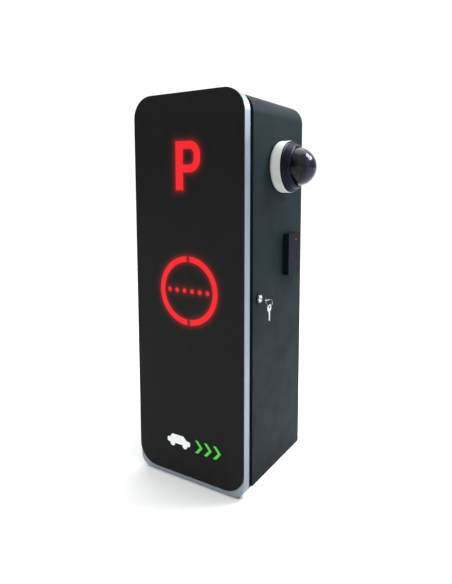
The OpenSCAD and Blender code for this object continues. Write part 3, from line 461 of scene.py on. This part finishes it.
def ring_distance(tree, flat):
    """Distance from the split ring; the gaps at its top and foot are darker but still glow."""
    middle = Vector((ring_low.x + ring_high.x, 0, ring_low.z + ring_high.z))/2
    radius = (ring_high.z - ring_low.z)/2 - RING_BORDER - RING_STROKE/2
    away = add(tree, "VectorMath", {0: flat, 1: middle}, operation="DISTANCE").outputs["Value"]
    outline = add(tree, "Math", {0: away, 1: radius}, operation="SUBTRACT")
    return band_distance(tree, outline.outputs[0], RING_STROKE)


def dots_distance(tree, flat):
    """Distance from the nearest dot of the row."""
    first = dots_low.x + DOT_BORDER + DOT_RADIUS
    last = dots_high.x - DOT_BORDER - DOT_RADIUS
    pitch = (last - first)/(DOT_COUNT - 1)
    parts = add(tree, "SeparateXYZ", {"Vector": flat})
    along = add(tree, "Math", {0: parts.outputs["X"], 1: first - pitch/2}, operation="SUBTRACT")
    snapped = add(tree, "Math", {0: along.outputs[0], 1: pitch}, operation="SNAP")
    kept = add(tree, "Clamp", {"Value": snapped.outputs[0], "Min": 0.0, "Max": last - first})
    nearest = add(tree, "Math", {0: kept.outputs[0], 1: first}, operation="ADD")
    middle = add(tree, "CombineXYZ", {"X": nearest.outputs[0], "Z": (dots_low.z + dots_high.z)/2})
    away = add(tree, "VectorMath", {0: flat, 1: middle.outputs[0]}, operation="DISTANCE")
    return add(tree, "Math", {0: away.outputs["Value"], 1: DOT_RADIUS},
               operation="SUBTRACT").outputs[0]


def painted_glow_of(tree, distance, reach, strength):
    """Painted light: an emission that dies away with distance; reach is where it has fallen to a third, in
    millimetres.
    """
    clear = add(tree, "Math", {0: distance, 1: 0.0}, operation="MAXIMUM")
    steps = add(tree, "Math", {0: clear.outputs[0], 1: -reach*MM}, operation="DIVIDE")
    share = add(tree, "Math", {0: steps.outputs[0]}, operation="EXPONENT")
    return add(tree, "Math", {0: share.outputs[0], 1: strength}, operation="MULTIPLY").outputs[0]


def panel_black():
    """Black acrylic: smooth and even, with faint wipe marks, and a painted red glow, emitted by the panel
    itself round the lit symbols, for the light that leaks into it.
    """
    material, tree, shader, place = new_material(
        "black_acrylic", "#1a1a1a", 0.3, IOR=1.49, Specular_IOR_Level=0.06)
    flat = add(tree, "VectorMath", {0: place, 1: (1, 0, 1)}, operation="MULTIPLY").outputs[0]
    # Painted glow: the black panel itself emits red, strongest next to the letter, the ring and the dots.
    glow = painted_glow_of(tree, letter_distance(tree, flat), 5.0, 0.24)
    for distance, strength in ((ring_distance(tree, flat), 0.24), (dots_distance(tree, flat), 0.2)):
        other = painted_glow_of(tree, distance, 4.5, strength)
        glow = add(tree, "Math", {0: glow, 1: other}, operation="MAXIMUM").outputs[0]
    shader.inputs["Emission Color"].default_value = linear("#ff282c")
    tree.links.new(glow, shader.inputs["Emission Strength"])
    tree.links.new(two_colours(tree, patches(tree, place, 70), "#191919", "#1b1b1b"),
                   shader.inputs["Base Color"])
    vary_gloss(tree, shader, patches(tree, place, 50, 4, (1, 1, 0.4)), 0.25, 0.34)
    raise_surface(tree, shader, patches(tree, place, 160, 0), 0.03)
    return material


MATERIALS = {
    "cabinet_paint": cabinet_paint(),
    "door_silver": door_silver(),
    "neck_black": neck_black(),
    "zinc_plate": zinc_plate(),
    "galvanised": galvanised(),
    "bright_steel": bright_steel(),
    "chrome_plug": chrome_plug(),
    "brass": brass(),
    "seal_rubber": seal_rubber(),
    "panel_black": panel_black(),
    "red_lens": lit_red(),
    "print_ink": printed_vinyl(),
    "camera_white": camera_white(),
    "trim_black": trim_black(),
    "bubble_smoke": bubble_smoke(),
    "lens_glass": lens_glass(),
    "black_abs": black_abs(),
    "grey_pvc": moulded("grey_pvc", "#8d9194", "#969a9c"),
    "white_abs": moulded("light_grey_abs", "#d6d8d4", "#cfd1cc"),
    "board_green": board_green(),
    "board_white": board_green("white_solder_mask", "#e6e8e2", "#d4d7d2"),
    "chip_black": moulded("black_moulded_chips", "#1d1e21", "#26272b", 0.4),
    "led_yellow": moulded("led_phosphor", "#f2df8a", "#f6e9a8", 0.3),
}
EXTRA = {
    "relay_blue": moulded("blue_moulded_relay", "#1f4f96", "#24579f", 0.4),
    "terminal_green": moulded("green_polyamide", "#2a7048", "#317c51", 0.45),
}

slot_of = {row["node"]: row["material_slot"] for row in frame["record"]["subparts"]}
for name, node in nodes.items():
    node.data.materials.clear()
    node.data.materials.append(MATERIALS[slot_of[name]])


# ---- Modelling ----

def start(kind, **settings):
    """Adds a primitive, alone in the selection, and opens it for editing."""
    bpy.ops.object.select_all(action="DESELECT")
    getattr(bpy.ops.mesh, "primitive_" + kind + "_add")(**settings)
    bpy.ops.object.mode_set(mode="EDIT")
    return bpy.context.object


def block(low, high):
    """A cube of the size and place of a box in millimetres, open for editing."""
    low, high = Vector(low)*MM, Vector(high)*MM
    piece = start("cube", size=1, location=(0, 0, 0))
    bpy.ops.transform.resize(value=high - low)
    bpy.ops.transform.translate(value=(low + high)/2)
    return piece


def choose(piece, wanted):
    """Selects the faces that wanted picks, by their middle in millimetres and their normal."""
    bpy.ops.mesh.select_mode(type="FACE")
    bpy.ops.mesh.select_all(action="DESELECT")
    mesh = bmesh.from_edit_mesh(piece.data)
    for face in mesh.faces:
        face.select_set(bool(wanted(face.calc_center_median()/MM, face.normal)))
    bmesh.update_edit_mesh(piece.data)


def sink(width, depth):
    """Insets each selected face by a width and moves the inner face along its normal by a depth."""
    bpy.ops.mesh.inset(thickness=width*MM, depth=0, use_individual=True)
    bpy.ops.mesh.extrude_region_shrink_fatten(TRANSFORM_OT_shrink_fatten={"value": depth*MM})


def drawn(points):
    """Corners drawn from point to point in millimetres, each extruded from the last."""
    piece = start("plane", size=MM, location=(0, 0, 0))
    bpy.ops.mesh.select_mode(type="VERT")
    bpy.ops.mesh.select_all(action="SELECT")
    bpy.ops.mesh.merge(type="CENTER")
    bpy.ops.transform.translate(value=Vector(points[0])*MM)
    for here, there in zip(points, points[1:]):
        bpy.ops.mesh.extrude_region_move(
            TRANSFORM_OT_translate={"value": (Vector(there) - Vector(here))*MM})
    return piece


def close_shape():
    """Merges doubled corners, turns the faces outward and leaves edit mode."""
    bpy.ops.mesh.select_all(action="SELECT")
    bpy.ops.mesh.remove_doubles(threshold=0.004*MM)
    bpy.ops.mesh.normals_make_consistent(inside=False)
    bpy.ops.object.mode_set(mode="OBJECT")


def turned(profile, steps=48):
    """A body turned about the X axis, from the (x, radius) points of its half profile in millimetres."""
    piece = drawn([(x, 0, radius) for x, radius in profile])
    bpy.ops.mesh.select_all(action="SELECT")
    bpy.ops.mesh.spin(steps=steps, angle=2*pi, center=(0, 0, 0), axis=(1, 0, 0))
    close_shape()
    return piece


def arc(middle, radius, first, last, count):
    """Points in millimetres round a middle, from one angle in degrees to another."""
    angles = [radians(first + (last - first)*i/count) for i in range(count + 1)]
    return [(middle[0] + radius*cos(a), middle[1] + radius*sin(a)) for a in angles]


def apply_modifier(piece, kind, **settings):
    """Adds a modifier with its settings to a piece and applies it."""
    modifier = piece.modifiers.new(kind.lower(), kind)
    for name, value in settings.items():
        setattr(modifier, name, value)
    bpy.ops.object.select_all(action="DESELECT")
    piece.select_set(True)
    bpy.context.view_layer.objects.active = piece
    bpy.ops.object.modifier_apply(modifier=modifier.name)


def cut(piece, tool):
    """Cuts a tool's shape out of a piece and takes the tool away."""
    apply_modifier(piece, "BOOLEAN", operation="DIFFERENCE", object=tool, solver="EXACT")
    bpy.data.objects.remove(tool)


def put(piece, place, turn=(0, 0, 0)):
    """Turns a piece by angles in degrees, moves it to a place in metres, and applies both."""
    piece.rotation_euler = [radians(angle) for angle in turn]
    piece.location = place
    bpy.ops.object.select_all(action="DESELECT")
    piece.select_set(True)
    bpy.context.view_layer.objects.active = piece
    bpy.ops.object.transform_apply(location=True, rotation=True, scale=True)
    return piece


def copied(piece):
    """A copy with its own mesh."""
    copy = piece.copy()
    copy.data = piece.data.copy()
    scene.collection.objects.link(copy)
    return copy


def joined(pieces):
    """Several pieces made one."""
    bpy.ops.object.select_all(action="DESELECT")
    for piece in pieces:
        piece.select_set(True)
    bpy.context.view_layer.objects.active = pieces[0]
    bpy.ops.object.join()
    return bpy.context.object


def finished(piece, name, node, edge=0.0, segments=2, material=None, stands_for=True):
    """Rounds the edges of a piece, smooths it, and gives it the finish, body and name that it needs."""
    if edge:
        apply_modifier(piece, "BEVEL", width=edge*MM, segments=segments, limit_method="ANGLE",
                       angle_limit=radians(28), miter_outer="MITER_ARC", use_clamp_overlap=True)
    bpy.ops.object.select_all(action="DESELECT")
    piece.select_set(True)
    bpy.context.view_layer.objects.active = piece
    bpy.ops.object.shade_smooth_by_angle(angle=radians(34))
    apply_modifier(piece, "WEIGHTED_NORMAL", keep_sharp=True, weight=80)
    piece.name = piece.data.name = name
    if material or not piece.data.materials:
        piece.data.materials.clear()
        piece.data.materials.append(material or MATERIALS[slot_of[node]])
    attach(piece, nodes[node]["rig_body"])
    if stands_for:
        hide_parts(node)
    return piece


def whole_copy(node):
    """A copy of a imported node, merged, with each flat face in one piece again."""
    piece = bpy.data.objects.new(node, nodes[node].data.copy())
    scene.collection.objects.link(piece)
    bpy.ops.object.select_all(action="DESELECT")
    piece.select_set(True)
    bpy.context.view_layer.objects.active = piece
    bpy.ops.mesh.customdata_custom_splitnormals_clear()
    bpy.ops.object.mode_set(mode="EDIT")
    bpy.ops.mesh.select_all(action="SELECT")
    bpy.ops.mesh.remove_doubles(threshold=0.002*MM)
    bpy.ops.mesh.dissolve_limited(angle_limit=radians(0.6))
    bpy.ops.object.mode_set(mode="OBJECT")
    return piece


def solid_boxes(node):
    """The lowest and highest corner of each separate solid of a node, in metres."""
    mesh = bmesh.new()
    mesh.from_mesh(nodes[node].data)
    bmesh.ops.remove_doubles(mesh, verts=mesh.verts, dist=0.002*MM)
    left = set(mesh.verts)
    boxes = []
    while left:
        group, edge_of_group = set(), [left.pop()]
        while edge_of_group:
            corner = edge_of_group.pop()
            group.add(corner.co.copy().freeze())
            for edge in corner.link_edges:
                other = edge.other_vert(corner)
                if other in left:
                    left.remove(other)
                    edge_of_group.append(other)
        boxes.append([Vector([pick(c[i] for c in group) for i in range(3)]) for pick in (min, max)])
    mesh.free()
    return sorted(boxes, key=lambda box: tuple(round(v, 5) for v in box[0]))


# ---- Cabinet, door and fittings with their edges rounded ----

# Widths in millimetres: a sheared sheet has a small burr-free edge, a moulding a rounder one.
ROUNDED = {
    "cabinet_shell": 0.5, "back_panel": 0.5, "base_plate": 0.6, "neck_frame": 0.6, "door_frame": 0.9,
    "door_back_cover": 0.4, "hinge_cabinet_leaves": 0.4, "hinge_door_leaves": 0.4, "hinge_pins": 0.4,
    "mounting_plate": 0.4, "plate_standoffs": 0.3, "wire_duct": 0.3, "din_rail": 0.2,
    "power_supply": 0.6, "circuit_breaker": 0.8, "breaker_toggle": 0.8, "terminal_blocks": 0.5,
    "control_board": 0.2, "network_switch": 0.8, "camera_base": 0.8, "reader_case": 1.6,
    "reader_back_plate": 0.4, "lock_barrel": 0.4, "lock_nut": 0.5, "lock_plug": 0.35,
    "lock_cam": 0.3, "lock_strike": 0.4, "cable_grommet": 0.8, "camera_turntable": 0.4,
    "face_panel": 0.3,
}
for node, width in ROUNDED.items():
    finished(whole_copy(node), node + "_rounded", node, width)


# ---- Dome camera ----

trim_low, trim_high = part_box("camera_trim")
camera_middle = (trim_low + trim_high)/2
trim_place = (trim_low.x, camera_middle.y, camera_middle.z)

TRIM_PROFILE = [
    (0, 56.2), (0, 66.2), (0.5, 66.7), (3.4, 66.7), (4.1, 66.3), (4.5, 65.4), (4.8, 64.6), (5.2, 64.3),
    (8.0, 63.8), (8.9, 63.2), (9.2, 62.3), (9.4, 61.4), (9.9, 61.0), (12.6, 60.5), (13.5, 59.9),
    (13.9, 58.9), (14.1, 57.9), (14.6, 57.5), (18.4, 56.2), (20.2, 55.2), (21.4, 53.8), (22, 52.2),
    (22, 50.6), (21.7, 50.2), (6.02, 50.2), (6.02, 56.2), (0, 56.2)]
finished(put(turned(TRIM_PROFILE, 96), trim_place), "camera_trim_ring", "camera_trim")

BUBBLE_RADIUS, BUBBLE_WALL, DOME_START = 50, 2.5, 18
bubble_profile = (arc((DOME_START, 0), BUBBLE_RADIUS, 0, 90, 24) + [(6, 50), (6, 56), (4, 56), (4, 47.5)]
                  + arc((DOME_START, 0), BUBBLE_RADIUS - BUBBLE_WALL, 90, 0, 24))
finished(put(turned(bubble_profile, 96), trim_place), "camera_smoked_bubble", "camera_bubble")

EYE_RADIUS, EYE_AIM = 21, -52
eye_place = (trim_low.x + (DOME_START - 4)*MM, camera_middle.y, camera_middle.z)
housing_profile = (arc((0, 0), EYE_RADIUS, 180, 32, 26) + [
    (18.0, 11.4), (18.4, 12.0), (20.4, 12.0), (20.8, 11.4), (22.0, 11.4), (22.2, 10.9), (22.8, 10.9),
    (23.0, 11.4), (24.2, 11.4), (24.4, 10.9), (25.0, 10.9), (25.2, 11.4), (29.0, 11.4), (29.7, 11.0),
    (30, 10.4), (30, 9.3), (29.4, 8.8), (28.4, 8.1), (24.6, 8.0), (24.6, 0)])
housing = put(turned(housing_profile), (0, 0, 0))
pin_profile = [(20, 0), (20, 2.5), (24.2, 2.5), (24.5, 2.2), (24.5, 0)]
pins = [put(turned(pin_profile, 20), (0, 0, 0), (0, side, 0)) for side in (90, -90)]
module = put(joined([housing] + pins), eye_place, (0, 0, EYE_AIM))
finished(module, "camera_module", "camera_eyeball")
glass_profile = arc((10.2, 0), 19, 0, 24.7, 8) + [(25.4, 7.94), (25.4, 0)]
finished(put(turned(glass_profile, 40), eye_place, (0, 0, EYE_AIM)), "camera_front_glass", "camera_lens")


# ---- Lock: keys and split ring ----

def make_key():
    """A flat key round the middle of its bow's hole, its cut blade towards -X."""
    bow, blade_half, half = 6.0, 4.0, 0.8
    outline = (arc((0, 4), bow, 0, 90, 6) + arc((-5, 4), bow, 90, 180, 6) + [
        (-13.5, 4), (-14.5, 3.2), (-15.5, 4), (-17.0, 4), (-18.2, 2.8), (-19.4, 2.8), (-20.2, 3.4),
        (-21.6, 2.0), (-22.8, 2.0), (-24.0, 3.2), (-25.6, 1.6), (-26.8, 1.6), (-28.0, 2.6), (-29.0, 2.2),
        (-30.2, 2.2), (-31.6, 3.4), (-33.6, 3.0), (-36.3, 0.4), (-36.5, -0.8), (-34.6, -blade_half)]
        + arc((-5, -4), bow, 180, 270, 6) + arc((0, -4), bow, 270, 360, 6))
    piece = drawn([(x, y, -half) for x, y in outline])
    bpy.ops.mesh.select_all(action="SELECT")
    bpy.ops.mesh.edge_face_add()
    bpy.ops.mesh.extrude_region_move(TRANSFORM_OT_translate={"value": (0, 0, 2*half*MM)})
    close_shape()
    cut(piece, put(turned([(-2, 0), (-2, 3.5), (2, 3.5), (2, 0)], 32), (0, 0, 0), (0, 90, 0)))
    for side in (-1, 1):
        groove = block((-36.7, -1.4, side*half - 0.45), (-14.5, 0, side*half + 0.45))
        bpy.ops.object.mode_set(mode="OBJECT")
        cut(piece, groove)
    apply_modifier(piece, "BEVEL", width=0.18*MM, segments=2, limit_method="ANGLE",
                   angle_limit=radians(40))
    return piece


KEY_HOLE_EDGE = 6*MM                     # middle of the bow's hole to the end of the bow
key = make_key()
spare = copied(key)
low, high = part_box("working_key")
put(key, (high.x - KEY_HOLE_EDGE, (low.y + high.y)/2, (low.z + high.z)/2))
finished(key, "working_key_cut", "working_key")
low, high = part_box("spare_key")
put(spare, ((low.x + high.x)/2, (low.y + high.y)/2, high.z - KEY_HOLE_EDGE), (180, -90, 0))
finished(spare, "spare_key_cut", "spare_key")


def make_split_ring():
    """Two turns of flattened spring wire, wound about the Y axis."""
    piece = start("circle", vertices=12, radius=0.5*MM, fill_type="NGON", location=(0, 0, 0))
    bpy.ops.transform.resize(value=(1.32, 0.48, 1))
    bpy.ops.transform.translate(value=(9*MM, 0, 0))
    bpy.ops.object.mode_set(mode="OBJECT")
    apply_modifier(piece, "SCREW", axis="Y", angle=2*pi, screw_offset=0.5*MM, iterations=2, steps=64,
                   use_merge_vertices=False)
    bpy.ops.object.mode_set(mode="EDIT")
    bpy.ops.mesh.select_all(action="SELECT")
    bpy.ops.mesh.fill_holes(sides=0)
    bpy.ops.transform.translate(value=(0, -0.5*MM, 0))
    close_shape()
    return piece


low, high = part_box("split_ring")
finished(put(make_split_ring(), (low + high)/2), "split_ring_wound", "split_ring")


# ---- Screws: pan heads with a cross recess ----

def make_screw():
    """A thread-forming screw along X, its head's seat at the middle and its recess towards +X."""
    thread = []
    for i in range(9):
        thread += [(-0.4 - 0.8*i, 2.0), (-0.8 - 0.8*i, 1.65)]
    piece = turned([(2.2, 0), (2.2, 1.9), (2.08, 2.6), (1.75, 3.3), (1.2, 3.8), (0.5, 4.0), (0, 4.0),
                    (0, 2.0)] + thread + [(-7.6, 1.6), (-8.0, 1.2), (-8.0, 0)], 24)
    for arm in ((0.45, 1.9), (1.9, 0.45)):
        tool = block((0.7, -arm[0], -arm[1]), (3, arm[0], arm[1]))
        bpy.ops.object.mode_set(mode="OBJECT")
        cut(piece, tool)
    return piece


HEAD_HEIGHT = 2.2*MM
screw = make_screw()
for node in ("back_panel_screws", "door_cover_screws"):
    copies = []
    for low, high in solid_boxes(node):
        place = ((low.x + high.x)/2, high.y - HEAD_HEIGHT, (low.z + high.z)/2)
        copies.append(put(copied(screw), place, (0, 0, 90)))
    finished(joined(copies), node + "_pan_head", node)
bpy.data.objects.remove(screw)


# ---- Control board: its components ----

board_low, board_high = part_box("control_board")
BOARD = Vector((board_low.x, board_low.y, board_low.z))/MM      # the board's front lower left corner


def on_board(x, z, width, depth, height):
    """A block that stands on the front of the board, at x and z on it, open for editing."""
    return block((BOARD.x + x, BOARD.y - depth, BOARD.z + z),
                 (BOARD.x + x + width, BOARD.y, BOARD.z + z + height))


def part(piece, name, material, edge=0.3):
    """Finishes one component of the control board."""
    finished(piece, name, "board_parts", edge, material=material, stands_for=name == "board_chip")


chip = on_board(55, 45, 28, 3, 28)
choose(chip, lambda middle, normal: normal.y < -0.9)
sink(1.2, -0.25)
bpy.ops.object.mode_set(mode="OBJECT")
part(chip, "board_chip", MATERIALS["chip_black"])
legs = []
for i in range(10):
    for along, up in ((57.2 + 2.6*i, 43.8), (57.2 + 2.6*i, 73.0)):
        legs.append(on_board(along, up, 0.8, 0.5, 1.2))
        bpy.ops.object.mode_set(mode="OBJECT")
part(joined(legs), "board_chip_legs", MATERIALS["bright_steel"], 0.1)

for i, along in enumerate((14, 34)):
    jack = on_board(along, 2, 16, 14, 20)
    choose(jack, lambda middle, normal: normal.z < -0.9)
    sink(1.6, -9)
    bpy.ops.object.mode_set(mode="OBJECT")
    part(jack, "board_network_jack_%d" % (i + 1), MATERIALS["galvanised"])

TERMINAL_COUNT = 4
# For the row at the foot and the row at the top: wire ways in a block, the first block's left,
# the pitch, a block's width, its foot, and the way its wires go, all in millimetres.
TERMINAL_ROWS = ((3, 62, 20, 19, 2, -1), (4, 18, 28, 26, 97, 1))
terminals = []
for ways, first, pitch, width, up, face in TERMINAL_ROWS:
    for i in range(TERMINAL_COUNT):
        body = on_board(first + pitch*i, up, width, 12, 10)
        bpy.ops.object.mode_set(mode="OBJECT")
        for way in range(ways):
            x = first + pitch*i + width*(way + 0.5)/ways
            middle = Vector((BOARD.x + x, BOARD.y, BOARD.z + up + 5))
            hole = put(turned([(-1, 0), (-1, 1.9), (2, 1.9), (2, 0)], 16),
                       (middle + Vector((0, -12, 1.0)))*MM, (0, 0, 90))
            cut(body, hole)
            mouth = block(middle + Vector((-1.6, -5.5, face*5 - 3)),
                          middle + Vector((1.6, -1.5, face*5 + 3)))
            bpy.ops.object.mode_set(mode="OBJECT")
            cut(body, mouth)
        terminals.append(body)
part(joined(terminals), "board_terminals", EXTRA["terminal_green"], 0.3)

relays = []
for i in range(3):
    relay = on_board(96 + 17*i, 60, 15, 16, 20)
    choose(relay, lambda middle, normal: normal.y < -0.9)
    sink(1.0, 0.4)
    bpy.ops.object.mode_set(mode="OBJECT")
    relays.append(relay)
part(joined(relays), "board_relays", EXTRA["relay_blue"], 0.5)

cans = []
for i in range(4):
    can = turned([(0, 0), (0, 3.4), (0.8, 3.5), (2.2, 3.5), (2.6, 3.2), (3.0, 3.5), (11.3, 3.5), (11.8, 3.2),
                  (12, 2.8), (12, 0)], 28)
    cans.append(put(can, ((BOARD.x + 16 + 9*i)*MM, BOARD.y*MM, (BOARD.z + 80)*MM), (0, 0, -90)))
part(joined(cans), "board_capacitors", MATERIALS["chip_black"], 0)


# ---- Stage and light ----

def add_stage():
    """A pale floor that runs out past everything the camera sees."""
    bpy.ops.object.select_all(action="DESELECT")
    bpy.ops.mesh.primitive_plane_add(size=60, location=(0, 0, 0))
    floor = bpy.context.object
    floor.name = "floor"
    material, tree, shader, place = new_material("pale_studio_floor", "#fdfdfc", 0.9,
                                                 Specular_IOR_Level=0.2)
    tree.links.new(two_colours(tree, patches(tree, place, 400), "#fdfdfc", "#fafaf9"),
                   shader.inputs["Base Color"])
    floor.data.materials.append(material)
    floor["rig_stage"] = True


def add_lamp(name, place, aim, size, power, colour="#ffffff"):
    """A soft box light at a place, turned to a point."""
    data = bpy.data.lights.new(name, "AREA")
    data.shape = "RECTANGLE"
    data.size, data.size_y = size
    data.energy = power
    data.color = linear(colour)[:3]
    lamp = bpy.data.objects.new(name, data)
    scene.collection.objects.link(lamp)
    lamp.location = place
    lamp.rotation_euler = (Vector(aim) - Vector(place)).to_track_quat("-Z", "Y").to_euler()
    lamp.visible_camera = False


WORLD_LIGHT = 1.15
WORLD_PARTS = (((0, 0, 1), 0.25, 0.7, 1.45), ((-0.6, -0.8, 0), 0.2, 0.8, 0.12),
               ((0.72, 0.68, -0.15), 0.7, 0.95, 0.2))


def add_world():
    """Even studio light from all round, but for a bright ceiling and two dim corners.

    Dark gloss surfaces mirror the corners. Each row of WORLD_PARTS is a way to face, how near a
    direction must be to it to start to change and to be changed most, and the light there.
    """
    world = bpy.data.worlds.new("studio")
    scene.world = world
    world.use_nodes = True
    tree = world.node_tree
    way = add(tree, "TexCoord", {}).outputs["Generated"]
    light = WORLD_LIGHT
    for facing, first, last, share in WORLD_PARTS:
        near = add(tree, "VectorMath", {0: way, 1: facing}, operation="DOT_PRODUCT")
        spread = add(tree, "MapRange", {"Value": near.outputs["Value"], "From Min": first,
                                        "From Max": last, "To Min": 1.0, "To Max": share})
        light = add(tree, "Math", {0: spread.outputs[0], 1: light}, operation="MULTIPLY").outputs[0]
    background = tree.nodes["Background"]
    background.inputs["Color"].default_value = linear("#f8fafc")
    tree.links.new(light, background.inputs["Strength"])


add_stage()
add_world()
add_lamp("overhead_soft_box", (0.3, 0.6, 2.8), (0, 0, 0.6), (1.8, 1.8), 24)
add_lamp("front_fill", (-1.4, -2.2, 2.2), (0, 0, 0.5), (1.2, 1.2), 14)
add_lamp("side_soft_box", (0.7, 0.35, 1.35), (0.15, 0, 0.9), (0.4, 0.4), 12, "#eef4ff")
scene.view_settings.view_transform = "Standard"

low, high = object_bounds()
